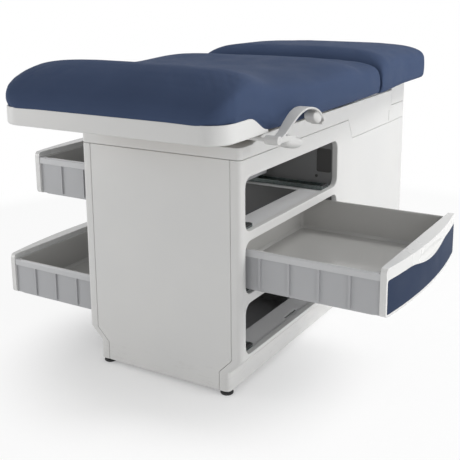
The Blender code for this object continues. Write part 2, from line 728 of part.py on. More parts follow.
skirt_outer = rounded((-HALF, HALF), (0, BASE_LENGTH), CORNER_RADIUS)
inset = SKIRT_WALL
skirt_inner = rounded((-HALF + inset, HALF - inset), (inset, BASE_LENGTH - inset), CORNER_RADIUS * 0.5)
skirt = make("top_skirt", ring_prism("top_skirt", skirt_outer, skirt_inner, SEAT_SEAM_HEIGHT + SEAM_GAP,
                                     SKIRT_TOP), WHITE)
below = SEAT_SEAM_HEIGHT - SKIRT_WALL
before = -SKIRT_WALL
seam = ((before, below), (NOTCH_END + SEAM_GAP, below), (NOTCH_END + SEAM_GAP, SEAT_SEAM_HEIGHT),
        (NOTCH_START + SEAM_GAP, SEAM_HEIGHT + SEAM_GAP), (before, SEAM_HEIGHT + SEAM_GAP))
above = SKIRT_TOP + SKIRT_WALL
rise_end = SKIRT_RISE_START + SKIRT_RISE_RUN
head_drop = ((before, SKIRT_HEAD_TOP), (SKIRT_RISE_START, SKIRT_HEAD_TOP), (rise_end, SKIRT_TOP),
             (rise_end, above), (before, above))
past_end = BASE_LENGTH + SKIRT_WALL
cut(skirt, prism("seam", seam, "X", -BASE_WIDTH, BASE_WIDTH),
    prism("head_drop", head_drop, "X", -BASE_WIDTH, BASE_WIDTH),
    box("cap_room", (-BASE_WIDTH, BASE_WIDTH), (CAP_START, past_end), (CAP_BOTTOM, above)))
for side in (1, -1):
    slot_x = sorted((side * (HALF - SKIRT_WALL / 3), side * (HALF + SKIRT_WALL)))
    cut(skirt, box("slot", slot_x, (CAP_START - 0.024, CAP_START - 0.019),
                   (SEAT_SEAM_HEIGHT + 0.006, SEAT_SEAM_HEIGHT + 0.044)))

# Seat section

seat_board_half = HALF - SEAT_BOARD_INSET
board_end = CAP_START - SEAT_BOARD_GAP
seat_board = make("seat_board", box("seat_board", (-seat_board_half, seat_board_half),
                                    (SEAT_BOARD_START, board_end), (BOARD_BOTTOM, BOARD_TOP)), BOARD)


def cushion(name, stations, half_width, lip_half, top, bottom, lip):
    """A cushion lofted along Y: drawn-in lower sides, upright walls, rounded shoulders, a crown."""
    loops = []
    for y in stations:
        half = half_width(y)
        foot = lip_half(y)
        low = bottom(y)
        waist = low + lip(y)
        peak = top(y)
        full = min(waist + SHOULDER, (waist + peak) / 2)
        rise = peak - CROWN - full
        right = [(foot, low), (foot, waist), (half - DRAW_IN * 0.3, waist + (full - waist) * 0.16),
                 (half, waist + (full - waist) * 0.45)]
        over = []
        for i in range(21):
            angle = math.pi * i / 20
            c, s = math.cos(angle), math.sin(angle)
            x = half * math.copysign(math.sqrt(abs(c)), c)
            over.append((x, full + rise * math.sqrt(abs(s)) + CROWN * (1 - (x / half) ** 2)))
        left = [(-x, z) for x, z in reversed(right)]
        loops.append([Vector((x, y, z)) for x, z in right + over + left])
    return loft(name, loops)


def rounded_end(depth, length):
    """Share of the full height at a depth from a rounded end."""
    t = min(1, max(0, depth / length))
    return math.sqrt(1 - (1 - t) ** 2)


def ease(start, end, count):
    """Places bunched towards the start, as on a rounded end."""
    return [start + (end - start) * (1 - math.cos(math.pi / 2 * i / count)) for i in range(count)]


def runs(start, end, count):
    """Evenly spaced places."""
    return [start + (end - start) * i / count for i in range(count)]


# Back section: board, pan, cushion

back_board_half = HALF - SKIRT_WALL - BACK_BOARD_SIDE
back_board_end = HINGE_Y - EAR_REACH * 0.20
back_board_bottom = BOARD_TOP - BACK_BOARD_THICK
back_board_mesh = box("back_board", (-back_board_half, back_board_half),
                      (BACK_BOARD_START, back_board_end), (back_board_bottom, BOARD_TOP))
make("back_board", back_board_mesh, BOARD)


def pan_path():
    """Centre points, inward directions and rim heights of the pan wall, from arm end to arm end."""
    def rim(y):
        drop = PAN_RIM - (BOARD_TOP + PAN_ARM_HEIGHT)
        t = min(1, max(0, (y - PAN_SHOULDER) / (PAN_ARM_END - PAN_SHOULDER)))
        return PAN_RIM - drop * t * t * (3 - 2 * t)

    corner_y = PAN_HEAD + PAN_RADIUS
    corner_x = PAN_HALF_WIDTH - PAN_RADIUS
    arm = [(PAN_HALF_WIDTH, PAN_ARM_END + (corner_y - PAN_ARM_END) * i / 14) for i in range(14)]
    path = [(x, y, -1, 0) for x, y in arm]
    for x, y in arc((corner_x, corner_y), PAN_RADIUS, 0, -90, 6):
        path.append((x, y, (corner_x - x) / PAN_RADIUS, (corner_y - y) / PAN_RADIUS))
    mirrored = [(-x, y, -nx, ny) for x, y, nx, ny in reversed(path)]
    return [(x, y, nx, ny, rim(y)) for x, y, nx, ny in path + mirrored]


pan_low = BOARD_TOP + CLEAR
pan_loops = []
for x, y, nx, ny, rim in pan_path():
    section = ((0.010, pan_low), (0.004, pan_low + 0.001), (0.001, pan_low + 0.003), (0, pan_low + 0.006),
               (0, rim - 0.002), (0.001, rim), (PAN_WALL, rim),
               (PAN_WALL + 0.0005, pan_low + PAN_FLOOR + 0.001), (0.010, pan_low + PAN_FLOOR))
    pan_loops.append([Vector((x + nx * d, y + ny * d, z)) for d, z in section])
pan = make("head_pan", loft("head_pan", pan_loops), WHITE)
pan_inside = 0.006
pan_floor_end = HINGE_Y - EAR_REACH - 0.005
pan_tail = PAN_HALF_WIDTH - PAN_TAIL_INSET
pan_floor = [(pan_tail, pan_floor_end), (-pan_tail, pan_floor_end), (-pan_tail, PAN_ARM_END + 0.030),
             (-PAN_HALF_WIDTH + pan_inside, PAN_ARM_END - 0.001)]
pan_corner = (PAN_HALF_WIDTH - PAN_RADIUS, PAN_HEAD + PAN_RADIUS)
pan_floor += arc((-pan_corner[0], pan_corner[1]), PAN_RADIUS - pan_inside, 180, 270, 6)
pan_floor += arc(pan_corner, PAN_RADIUS - pan_inside, 270, 360, 6)
pan_floor += [(PAN_HALF_WIDTH - pan_inside, PAN_ARM_END - 0.001), (pan_tail, PAN_ARM_END + 0.030)]
add(pan, prism("floor", pan_floor, "Z", pan_low + 0.0002, pan_low + PAN_FLOOR))

back_end = DIVISION - CUSHION_GAP / 2
rim_clear = PAN_RIM + 0.0015
lip_start = BACK_HEAD + 0.012
arm_clear = PAN_ARM_END + 0.050
tail_round = back_end - HINGE_Y


def back_half_width(y):
    full = blend(y, ((PAN_ARM_END - 0.06, HEAD_HALF_WIDTH), (PAN_ARM_END + 0.10, BACK_HALF_WIDTH),
                     (HINGE_Y - tail_round, BACK_HALF_WIDTH), (back_end, BACK_HALF_WIDTH - 0.006)))
    return full - corner_drop(max(0, full + BACK_HEAD - y), full, HEAD_CORNER)


def back_lip(y):
    """Half width of the part that stands inside the pan."""
    narrow = back_half_width(y) - DRAW_IN
    if y < arm_clear - 0.020:
        narrow = min(narrow, PAN_HALF_WIDTH - PAN_WALL - 0.003)
    depth = PAN_HEAD + PAN_RADIUS - y
    if depth <= 0:
        return narrow
    reach = PAN_RADIUS - PAN_WALL - 0.003
    return min(narrow, PAN_HALF_WIDTH - PAN_RADIUS + math.sqrt(max(0, reach * reach - depth * depth)))


neck = PILLOW_REACH + NECK_RUN
dip = neck + DIP_RUN
rise = dip + RISE_RUN
back_knots = ((PILLOW_REACH, PILLOW_HEIGHT), (neck, NECK_HEIGHT), (dip, DIP_HEIGHT), (rise, RISE_HEIGHT),
              (rise + TAIL_RUN, TAIL_HEIGHT))


def back_top(y):
    """Crown height: pillow rise, dip, back, and an end that rolls round the hinge axis."""
    profile = CUSHION_BOTTOM + curve(y - BACK_HEAD, back_knots)
    low = rim_clear + 0.010
    head = low + (profile - low) * rounded_end(y - BACK_HEAD, HEAD_ROUND)
    if y <= HINGE_Y:
        return head
    return min(head, HINGE_Z + math.sqrt(max(0, tail_round ** 2 - (y - HINGE_Y) ** 2)))


back_stations = [BACK_HEAD, BACK_HEAD + 0.002, BACK_HEAD + 0.006, lip_start - 0.001, lip_start + 0.001]
back_stations += ease(lip_start + 0.008, PAN_SHOULDER, 5) + runs(PAN_SHOULDER, arm_clear, 5)
back_stations += runs(arm_clear, back_end - tail_round, 14)
back_stations += [back_end - y for y in reversed(ease(0, tail_round, 7))]
back_cushion = make("back_cushion", cushion(
    "back_cushion", back_stations, back_half_width, back_lip, back_top,
    lambda y: rim_clear if y < lip_start else CUSHION_BOTTOM,
    lambda y: blend(y, ((PAN_SHOULDER, rim_clear - CUSHION_BOTTOM), (arm_clear, 0.003)))
    if y > lip_start else 0.001), VINYL)

slot_inner = back_board_half - PIN_HEAD_THICK - 0.007
slot_outer = back_board_half + 2 * EAR_THICK + PIN_HEAD_THICK + 0.007
slot_start = HINGE_Y - EAR_REACH - 0.004
slot_end = back_end + 0.02
slot_top = HINGE_Z + EAR_RADIUS + 0.004
slot_low = CUSHION_BOTTOM - 0.02
ear_slot = ((slot_start, slot_low), (slot_end, slot_low), (slot_end, HINGE_Z - 0.005),
            (HINGE_Y + 0.020, slot_top - 0.003), (HINGE_Y - 0.020, slot_top),
            (HINGE_Y - 0.030, BOARD_TOP + 0.026), (slot_start, BOARD_TOP + 0.012))
for side in (1, -1):
    cut(back_cushion, prism("ear_slot", ear_slot, "X", side * slot_inner, side * slot_outer))

# Seat cushion

seat_start = DIVISION + CUSHION_GAP / 2
seat_bottom = CAP_TOP + CLEAR
seat_peak = seat_start + SEAT_PEAK_REACH
seat_knots = ((seat_peak, SEAT_HEIGHT), (seat_peak + SEAT_MIDDLE_RUN, SEAT_MIDDLE_HEIGHT),
              (SEAT_FOOT - SEAT_FOOT_REACH, SEAT_FOOT_HEIGHT))


def seat_half_width(y):
    full = blend(y, ((seat_start, BACK_HALF_WIDTH - 0.004), (seat_start + SEAT_TAPER, SEAT_HALF_WIDTH)))
    return full - corner_drop(max(0, full + y - SEAT_FOOT), full, FOOT_CORNER)


def seat_top(y):
    """Crown height: rounded against the back section and at the foot."""
    low = seat_bottom + 0.070
    profile = seat_bottom + curve(y, seat_knots)
    start = rounded_end(y - seat_start, SEAT_START_ROUND)
    foot = rounded_end(SEAT_FOOT - y, FOOT_ROUND)
    return low + (profile - low) * min(start, foot)


seat_stations = ease(seat_start, seat_start + SEAT_START_ROUND, 6)
seat_stations += runs(seat_start + SEAT_START_ROUND, SEAT_FOOT - FOOT_CORNER, 7)
seat_stations += [SEAT_FOOT - y for y in reversed(ease(0, FOOT_CORNER, 8))]
make("seat_cushion", cushion(
    "seat_cushion", seat_stations, seat_half_width, lambda y: seat_half_width(y) - DRAW_IN, seat_top,
    lambda y: seat_bottom, lambda y: 0.004), VINYL)

# Back hinge: ears with pins on the top deck, moving ears on the back board


def knuckle(y, z, radius):
    return arc((y, z), radius, 0, 180, 8)


for hand, side in (("right", 1), ("left", -1)):
    moving = (back_board_half + CLEAR, back_board_half + CLEAR + EAR_THICK)
    fixed = (moving[1] + 0.0005, moving[1] + 0.0005 + EAR_THICK)
    pin_hole = disc((HINGE_Y, HINGE_Z), PIN_RADIUS + CLEAR, 16)
    fixed_outline = knuckle(HINGE_Y, HINGE_Z, EAR_RADIUS)
    ear_foot = top_deck_top + CLEAR
    fixed_outline += [(HINGE_Y - EAR_RADIUS, ear_foot), (HINGE_Y + EAR_RADIUS, ear_foot)]
    name = f"hinge_ear_fixed_{hand}"
    ear = make(name, prism(name, fixed_outline, "X", side * fixed[0], side * fixed[1]), STEEL)
    inner = moving[0] - CLEAR
    loops = []
    for x, radius in ((inner - PIN_HEAD_THICK, PIN_HEAD_RADIUS), (inner, PIN_HEAD_RADIUS),
                      (inner, PIN_RADIUS), (fixed[1] - CLEAR, PIN_RADIUS)):
        loops.append([place("X", side * x, y, z) for y, z in disc((HINGE_Y, HINGE_Z), radius, 16)])
    add(ear, loft("pin", loops))
    tail = HINGE_Y - EAR_REACH
    ear_low = back_board_bottom + CLEAR
    moving_outline = knuckle(HINGE_Y, HINGE_Z, EAR_RADIUS)
    moving_outline += [(HINGE_Y - EAR_RADIUS * 1.6, BOARD_TOP + 0.010), (tail, BOARD_TOP), (tail, ear_low),
                       (back_board_end, ear_low), (HINGE_Y + EAR_RADIUS, HINGE_Z - EAR_RADIUS)]
    name = f"hinge_ear_moving_{hand}"
    ear = make(name, prism(name, moving_outline, "X", side * moving[0], side * moving[1]), STEEL)
    cut(ear, prism("hole", pin_hole, "X", 0, side * HALF))

# Gas spring: cylinder on the base anchor, rod towards the bracket under the back board

anchor = Vector((0, SPRING_ANCHOR_Y, SPRING_ANCHOR_Z))
spring_end = Vector((0, SPRING_END_Y, SPRING_END_Z))
spring_line = (spring_end - anchor).normalized()
spring_up = Vector((1, 0, 0)).cross(spring_line)
spring_length = (spring_end - anchor).length
eye_half = SPRING_EYE_THICK / 2


def along(distance, radius, steps):
    """A ring of points round the spring's line."""
    centre = anchor + spring_line * distance
    return [centre + Vector((1, 0, 0)) * u + spring_up * v for u, v in disc((0, 0), radius, steps)]


def lug(centre, direction, reach):
    """A flat eye on the spring's line, with a tongue that reaches into the tube or rod."""
    angle = math.degrees(math.atan2(direction.z, direction.y))
    outline = arc((centre.y, centre.z), SPRING_EYE_RADIUS, angle + 90, angle + 270, 8)
    tip = centre + direction * reach
    across = spring_up * SPRING_TONGUE
    sign = 1 if direction.dot(spring_line) > 0 else -1
    for corner in (tip - across * sign, tip + across * sign):
        outline.append((corner.y, corner.z))
    return prism("lug", outline, "X", -eye_half, eye_half)


tube_start = math.hypot(BRACKET_LENGTH / 2, SPRING_EYE_RADIUS + 0.001) + 0.003
tube_end = tube_start + SPRING_TUBE_LENGTH
bore = SPRING_ROD_RADIUS + 0.0004
tube_loops = [along(d, r, 16) for d, r in (
    (tube_start, SPRING_TUBE_RADIUS - 0.002), (tube_start + 0.003, SPRING_TUBE_RADIUS),
    (tube_end, SPRING_TUBE_RADIUS), (tube_end, bore), (tube_start + 0.022, bore))]
cylinder = make("gas_spring_cylinder", loft("gas_spring_cylinder", tube_loops), BLACK)
add(cylinder, lug(anchor, spring_line, tube_start + 0.010))
cut(cylinder, prism("hole", disc((anchor.y, anchor.z), PIN_RADIUS + CLEAR, 12), "X", -HALF, HALF))

rod_end = spring_length - BRACKET_LENGTH / 2 - 0.003
rod_loops = [along(d, SPRING_ROD_RADIUS, 12) for d in (tube_start + 0.035, rod_end)]
rod = make("gas_spring_rod", loft("gas_spring_rod", rod_loops), STEEL)
add(rod, lug(spring_end, -spring_line, spring_length - rod_end + 0.010))


def fork(name, centre, seat, direction):
    """A U bracket: base on its seat, two cheeks past the eye."""
    gap = eye_half + 0.0006
    out = gap + BRACKET_WALL
    inner = seat + direction * BRACKET_WALL
    tip = centre.z + direction * (SPRING_EYE_RADIUS + 0.001)
    profile = ((-out, seat), (out, seat), (out, tip), (gap, tip), (gap, inner),
               (-gap, inner), (-gap, tip), (-out, tip))
    half = BRACKET_LENGTH / 2
    return make(name, prism(name, profile, "Y", centre.y - half, centre.y + half), STEEL)


spring_anchor = fork("spring_anchor", anchor, top_deck_top + CLEAR, 1)
anchor_reach = eye_half + 0.0006 + BRACKET_WALL * 0.8
anchor_pin = disc((anchor.y, anchor.z), PIN_RADIUS, 12)
add(spring_anchor, prism("pin", anchor_pin, "X", -anchor_reach, anchor_reach))
fork("spring_bracket", spring_end, back_board_bottom - CLEAR, -1)

# Release lever on the right of the back section: shaft, hub, curled strap with its web, finger grip

lever_axis = Vector((0, LEVER_Y, LEVER_Z))
lever_x = (LEVER_X, LEVER_X + LEVER_WIDTH)
strap_line = ((0.000, 0.000), (0.032, 0.013), (0.064, 0.032), (0.098, 0.049), (0.136, 0.057),
              (0.178, 0.052), (0.213, 0.036), (0.234, 0.014), (0.222, 0.006))


def smooth_line(points, steps):
    """A Catmull-Rom curve through the points."""
    ends = [points[0]] + list(points) + [points[-1]]
    line = []
    for p0, p1, p2, p3 in zip(ends, ends[1:], ends[2:], ends[3:]):
        for i in range(steps):
            t = i / steps
            point = []
            for a, b, c, d in zip(p0, p1, p2, p3):
                square = 2 * a - 5 * b + 4 * c - d
                cube = 3 * b - a - 3 * c + d
                point.append(0.5 * (2 * b + (c - a) * t + square * t ** 2 + cube * t ** 3))
            line.append(tuple(point))
    return line + [points[-1]]


def strip(line, thick):
    """Outline of a band of even thickness along a line."""
    upper, lower = [], []
    for i, (y, z) in enumerate(line):
        before, after = line[max(0, i - 1)], line[min(len(line) - 1, i + 1)]
        dy, dz = after[0] - before[0], after[1] - before[1]
        size = math.hypot(dy, dz)
        ny, nz = -dz / size * thick / 2, dy / size * thick / 2
        upper.append((y + ny, z + nz))
        lower.append((y - ny, z - nz))
    return upper + list(reversed(lower))


strap = smooth_line([(LEVER_Y + y, LEVER_Z + z) for y, z in strap_line], 4)
lever = make("release_lever", prism("release_lever", strip(strap, LEVER_STRAP), "X", *lever_x), WHITE)
hub_x = (LEVER_X - 0.010, LEVER_X + LEVER_WIDTH * 0.8)
shaft_inner = back_board_half + 0.004
web_x = (LEVER_X + LEVER_WIDTH * 0.70, LEVER_X + LEVER_WIDTH * 0.92)
web = [(y, z) for y, z in strap[:-6] if y > LEVER_Y + 0.025]
web += [(LEVER_Y + 0.150, LEVER_Z - 0.006), (LEVER_Y + 0.060, LEVER_Z - 0.012)]
grip = []
for c, s in disc((0, 0), 1, 20):
    grip.append((LEVER_Y + 0.089 + 0.046 * c + 0.003 * s, LEVER_Z - 0.020 - 0.008 * c + 0.0145 * s))
add(lever, prism("hub", disc((LEVER_Y, LEVER_Z), LEVER_HUB_RADIUS, 16), "X", *hub_x),
    prism("shaft", disc((LEVER_Y, LEVER_Z), LEVER_SHAFT_RADIUS, 12), "X", shaft_inner, LEVER_X),
    prism("web", web, "X", *web_x),
    prism("grip", grip, "X", LEVER_X + 0.001, LEVER_X + LEVER_WIDTH * 0.96))

block_half = LEVER_BLOCK / 2
block_x = (back_board_half + CLEAR, back_board_half + 0.030)
block_mesh = box("lever_bracket", block_x, (LEVER_Y - block_half, LEVER_Y + block_half),
                 (back_board_bottom, BOARD_TOP - CLEAR))
lever_bracket = make("lever_bracket", block_mesh, STEEL)
block_bore = disc((LEVER_Y, LEVER_Z), LEVER_SHAFT_RADIUS + CLEAR, 12)
cut(lever_bracket, prism("bore", block_bore, "X", shaft_inner - 0.001, HALF))

# Leg rest under the seat

leg_pan_half = HALF - SKIRT_WALL - LEG_PAN_GAP
rail_inner = leg_pan_half - RAIL_LAP
rail_outer = HALF - SKIRT_WALL - CLEAR
rail_top = LEG_PAN_BOTTOM - CLEAR
for hand, side in (("right", 1), ("left", -1)):
    name = f"leg_rest_rail_{hand}"
    rail_x = sorted((side * rail_inner, side * rail_outer))
    rail_z = (rail_top - RAIL_HEIGHT, rail_top)
    make(name, box(name, rail_x, (SEAT_BOARD_START, CAP_START - 0.002), rail_z), STEEL)
cap_y = CAP_START + SEAM_GAP
cap_wall = SKIRT_WALL
leg_pan_end = BASE_LENGTH - cap_wall - CLEAR
make("leg_rest_pan", box("leg_rest_pan", (-leg_pan_half, leg_pan_half), (LEG_PAN_START, leg_pan_end),
                         (LEG_PAN_BOTTOM, LEG_PAN_BOTTOM + LEG_PAN_THICK)), DARK)
pad_low = LEG_PAN_BOTTOM + LEG_PAN_THICK + CLEAR
pad_half = leg_pan_half - LEG_PAD_MARGIN
pad_y = (LEG_PAN_START + LEG_PAD_MARGIN / 2, leg_pan_end - 0.006)
pad_loops = []
for inset, share in ((0.003, 0), (0, 0.4), (0.003, 0.8), (0.012, 1)):
    z = pad_low + LEG_PAD_THICK * share
    outline = rounded((-pad_half + inset, pad_half - inset), (pad_y[0] + inset, pad_y[1] - inset), 0.025)
    pad_loops.append([Vector((x, y, z)) for x, y in outline])
make("leg_rest_pad", loft("leg_rest_pad", pad_loops), VINYL)

cap_corner = (HALF - CORNER_RADIUS, BASE_LENGTH - CORNER_RADIUS)
cap_plan = [(HALF, cap_y)] + arc(cap_corner, CORNER_RADIUS, 0, 90, 4)
cap_plan += [(-x, y) for x, y in reversed(cap_plan)]
inner_x = HALF - cap_wall
cap_plan += [(-inner_x, cap_y), (-inner_x, BASE_LENGTH - cap_wall),
             (inner_x, BASE_LENGTH - cap_wall), (inner_x, cap_y)]
make("leg_rest_cap", prism("leg_rest_cap", cap_plan, "Z", CAP_BOTTOM + SEAM_GAP, CAP_TOP), WHITE)

# Pull-out step at the bottom of the foot end

step_low = step_rail_top + CLEAR
step_side = [(step_half, STEP_TOP), (step_half, step_low), (step_half - STEP_SHEET, step_low),
             (step_half - STEP_SHEET, STEP_TOP - STEP_SHEET)]
step_profile = step_side + [(-x, z) for x, z in reversed(step_side)]
step_box = make("step_box", prism("step_box", step_profile, "Y", STEP_START, BASE_LENGTH), WHITE)
step_face = (BASE_LENGTH - STEP_SHEET - 0.001, BASE_LENGTH - 0.001)
add(step_box, box("front", (-step_half + 0.001, step_half - 0.001), step_face,
                  (step_low + 0.001, STEP_TOP - 0.001)))
tread_half = step_half - TREAD_MARGIN
tread_end = BASE_LENGTH - TREAD_MARGIN * 2 / 3
make("step_tread", box("step_tread", (-tread_half, tread_half), (tread_end - TREAD_LENGTH, tread_end),
                       (STEP_TOP + CLEAR, STEP_TOP + TREAD_THICK)), RUBBER)
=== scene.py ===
"""Examination table with drawers, dressed for the camera: mouldings, drawers, metalwork and upholstery.

Metres, in the frame of the solid model: +X is the side with the release lever, +Y the foot end, +Z up.
"""

import math

import bmesh
import bpy
from mathutils import Matrix, Vector


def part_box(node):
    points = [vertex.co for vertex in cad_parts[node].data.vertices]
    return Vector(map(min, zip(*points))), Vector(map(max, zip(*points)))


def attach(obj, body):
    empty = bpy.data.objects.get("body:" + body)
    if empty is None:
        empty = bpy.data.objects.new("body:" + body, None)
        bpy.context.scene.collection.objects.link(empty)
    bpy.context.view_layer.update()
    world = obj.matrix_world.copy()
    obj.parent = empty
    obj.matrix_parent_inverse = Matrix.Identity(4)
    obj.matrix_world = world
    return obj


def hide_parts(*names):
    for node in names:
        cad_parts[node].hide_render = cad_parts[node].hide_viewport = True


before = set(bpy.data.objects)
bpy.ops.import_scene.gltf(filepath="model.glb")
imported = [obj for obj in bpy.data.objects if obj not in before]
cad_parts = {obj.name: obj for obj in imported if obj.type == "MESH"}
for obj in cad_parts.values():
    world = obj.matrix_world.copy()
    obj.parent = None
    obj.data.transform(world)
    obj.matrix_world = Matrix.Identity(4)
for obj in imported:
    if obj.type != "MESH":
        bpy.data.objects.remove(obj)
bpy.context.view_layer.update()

# The view: a long lens at chest height, off the right corner of the head end and a little above the bed,
# tipped down, with some drop of the lens so that the cabinet's edges stay nearly upright.
eye = Vector((1.2382, -2.2309, 1.0884))
turn = math.radians(30.996)
tip = math.radians(12.607)
lean = math.radians(-0.486)
lens = bpy.data.cameras.new("view")
lens.lens = 65.02
lens.sensor_width = 36
lens.shift_y = -0.15
view = bpy.data.objects.new("view", lens)
view.matrix_world = (Matrix.Translation(eye) @ Matrix.Rotation(turn, 4, "Z")
                     @ Matrix.Rotation(math.pi / 2 - tip, 4, "X") @ Matrix.Rotation(lean, 4, "Z"))
bpy.context.scene.collection.objects.link(view)
bpy.context.scene.camera = view
bpy.context.scene.view_settings.view_transform = "Standard"

# The studio: a pale matt floor that keeps the soft shadow near the table and runs out to white, one broad
# lamp high on the right, weaker ones low on three sides of the head end, and a dim even white room.


def chain(tree, *steps):
    """Links (node, output) to (node, input) pairs in order."""
    for source, output, target, name in steps:
        tree.links.new(source.outputs[output], target.inputs[name])


def seen_directly(tree):
    """1 for rays that show the background itself: straight, in a reflection or through glass."""
    path = tree.nodes.new("ShaderNodeLightPath")
    total = path.outputs["Is Camera Ray"]
    for ray in ("Is Glossy Ray", "Is Transmission Ray"):
        either = tree.nodes.new("ShaderNodeMath")
        either.operation = "MAXIMUM"
        tree.links.new(total, either.inputs[0])
        tree.links.new(path.outputs[ray], either.inputs[1])
        total = either.outputs[0]
    return total


floor_mesh = bpy.data.meshes.new("floor")
floor_bm = bmesh.new()
bmesh.ops.create_circle(floor_bm, cap_ends=True, segments=64, radius=14)
floor_bm.to_mesh(floor_mesh)
floor_bm.free()
floor = bpy.data.objects.new("floor", floor_mesh)
bpy.context.scene.collection.objects.link(floor)
paper = bpy.data.materials.new("floor_paper")
paper.use_nodes = True
tree = paper.node_tree
matt = tree.nodes["Principled BSDF"]
matt.inputs["Base Color"].default_value = (0.93, 0.93, 0.93, 1)
matt.inputs["Roughness"].default_value = 0.9
matt.inputs["Specular IOR Level"].default_value = 0.1
place = tree.nodes.new("ShaderNodeTexCoord")
shares = []
floor_fades = (((-0.05, -0.40, 0), 0.20, 0.58, 0.28, 0.88), ((0, 0, 0), 0.8, 2.0, 0, 1))
for centre, near, far, start, end in floor_fades:
    distance = tree.nodes.new("ShaderNodeVectorMath")
    distance.operation = "DISTANCE"
    distance.inputs[1].default_value = centre
    fade = tree.nodes.new("ShaderNodeMapRange")
    fade.interpolation_type = "SMOOTHSTEP"
    for label, value in (("From Min", near), ("From Max", far), ("To Min", start), ("To Max", end)):
        fade.inputs[label].default_value = value
    chain(tree, (place, "Object", distance, 0), (distance, "Value", fade, "Value"))
    shares.append(fade)
white = tree.nodes.new("ShaderNodeEmission")
larger = tree.nodes.new("ShaderNodeMath")
larger.operation = "MAXIMUM"
both = tree.nodes.new("ShaderNodeMath")
both.operation = "MULTIPLY"
mix = tree.nodes.new("ShaderNodeMixShader")
chain(tree, (shares[0], 0, larger, 0), (shares[1], 0, larger, 1), (larger, 0, both, 0))
tree.links.new(seen_directly(tree), both.inputs[1])
chain(tree, (both, 0, mix, 0), (matt, 0, mix, 1), (white, 0, mix, 2),
      (mix, 0, tree.nodes["Material Output"], "Surface"))
floor_mesh.materials.append(paper)

room = bpy.data.worlds.new("room")
room.use_nodes = True
bpy.context.scene.world = room
tree = room.node_tree
fill = tree.nodes["Background"]
fill.inputs["Color"].default_value = (1, 1, 1, 1)
fill.inputs["Strength"].default_value = 0.45
backdrop = tree.nodes.new("ShaderNodeBackground")
backdrop.inputs["Color"].default_value = (1, 1, 1, 1)
backdrop.inputs["Strength"].default_value = 1.0
mix = tree.nodes.new("ShaderNodeMixShader")
tree.links.new(seen_directly(tree), mix.inputs[0])
chain(tree, (fill, 0, mix, 1), (backdrop, 0, mix, 2), (mix, 0, tree.nodes["World Output"], "Surface"))

for name, at, target, size, power in (
        ("key", (2.1, 1.6, 3.5), (0, 0, 0.4), 1.2, 54),
        ("side_fill", (3.3, 0.5, 1.12), (0, 0, 0.3), 1.4, 32),
        ("head_fill", (-1.7, -1.5, 0.8), (-0.3, -0.4, 0.3), 1.2, 10),
        ("front_fill", (2.4, -2.2, 1.1), (0.2, -0.2, 0.3), 1.6, 9)):
    lamp = bpy.data.lights.new(name, "AREA")
    lamp.shape = "DISK"
    lamp.size = size
    lamp.energy = power
    holder = bpy.data.objects.new(name, lamp)
    holder.location = at
    holder.rotation_euler = (Vector(target) - Vector(at)).to_track_quat("-Z", "Y").to_euler()
    bpy.context.scene.collection.objects.link(holder)

# The cabinet's shell: two side mouldings that wrap the corners, end panels let in between them, and a skirt
# on top with a thin lip turned in round its head end. All are off-white plastic, formed over a mould, so
# their edges are rolled, and they hook together from inside.


def group_tree(name, inputs, outputs):
    """A shader node group with named sockets; returns it with its input and output nodes."""
    group = bpy.data.node_groups.new(name, "ShaderNodeTree")
    for label, kind in inputs:
        group.interface.new_socket(label, in_out="INPUT", socket_type=kind)
    for label, kind in outputs:
        group.interface.new_socket(label, in_out="OUTPUT", socket_type=kind)
    return group, group.nodes.new("NodeGroupInput"), group.nodes.new("NodeGroupOutput")


def math_node(tree, operation, *values):
    """A maths node with numbers or sockets on its inputs; returns its output."""
    node = tree.nodes.new("ShaderNodeMath")
    node.operation = operation
    for socket, value in zip(node.inputs, values):
        if isinstance(value, (int, float)):
            socket.default_value = value
        else:
            tree.links.new(value, socket)
    return node.outputs[0]


def noise(tree, coords, scale, detail=2, rough=0.5):
    """Cloudy noise of the given scale, from a number or a socket; returns its value."""
    node = tree.nodes.new("ShaderNodeTexNoise")
    node.inputs["Detail"].default_value = detail
    node.inputs["Roughness"].default_value = rough
    tree.links.new(coords, node.inputs["Vector"])
    if isinstance(scale, (int, float)):
        node.inputs["Scale"].default_value = scale
    else:
        tree.links.new(scale, node.inputs["Scale"])
    return node.outputs[0]


def tint(tree, share, first, second):
    """A mix of two colours by a share; returns the colour."""
    node = tree.nodes.new("ShaderNodeMix")
    node.data_type = "RGBA"
    for socket, value in ((node.inputs[0], share), (node.inputs[6], first), (node.inputs[7], second)):
        if isinstance(value, tuple):
            socket.default_value = value
        else:
            tree.links.new(value, socket)
    return node.outputs[2]


def ramp(tree, value, low, high, start=0.0, end=1.0):
    """A value spread from low..high to start..end, held at both ends; returns the value."""
    node = tree.nodes.new("ShaderNodeMapRange")
    for label, number in (("From Min", low), ("From Max", high), ("To Min", start), ("To Max", end)):
        node.inputs[label].default_value = number
    tree.links.new(value, node.inputs["Value"])
    return node.outputs[0]


# Moulded plastic: an even tone that drifts a little, the fine pebble of the mould, scuffs near the floor.
moulded_skin, given, made = group_tree(
    "moulded_skin",
    (("Colour", "NodeSocketColor"), ("Drift", "NodeSocketColor"), ("Scuff", "NodeSocketColor"),
     ("Gloss", "NodeSocketFloat"), ("Pebble", "NodeSocketFloat"), ("Scuff Height", "NodeSocketFloat")),
    (("Colour", "NodeSocketColor"), ("Roughness", "NodeSocketFloat"), ("Height", "NodeSocketFloat")))
coords = moulded_skin.nodes.new("ShaderNodeTexCoord").outputs["Object"]
drift = ramp(moulded_skin, noise(moulded_skin, coords, 3.2, 3), 0.35, 0.65)
toned = tint(moulded_skin, drift, given.outputs["Colour"], given.outputs["Drift"])
split = moulded_skin.nodes.new("ShaderNodeSeparateXYZ")
moulded_skin.links.new(coords, split.inputs[0])
low_down = math_node(moulded_skin, "SUBTRACT", given.outputs["Scuff Height"], split.outputs["Z"])
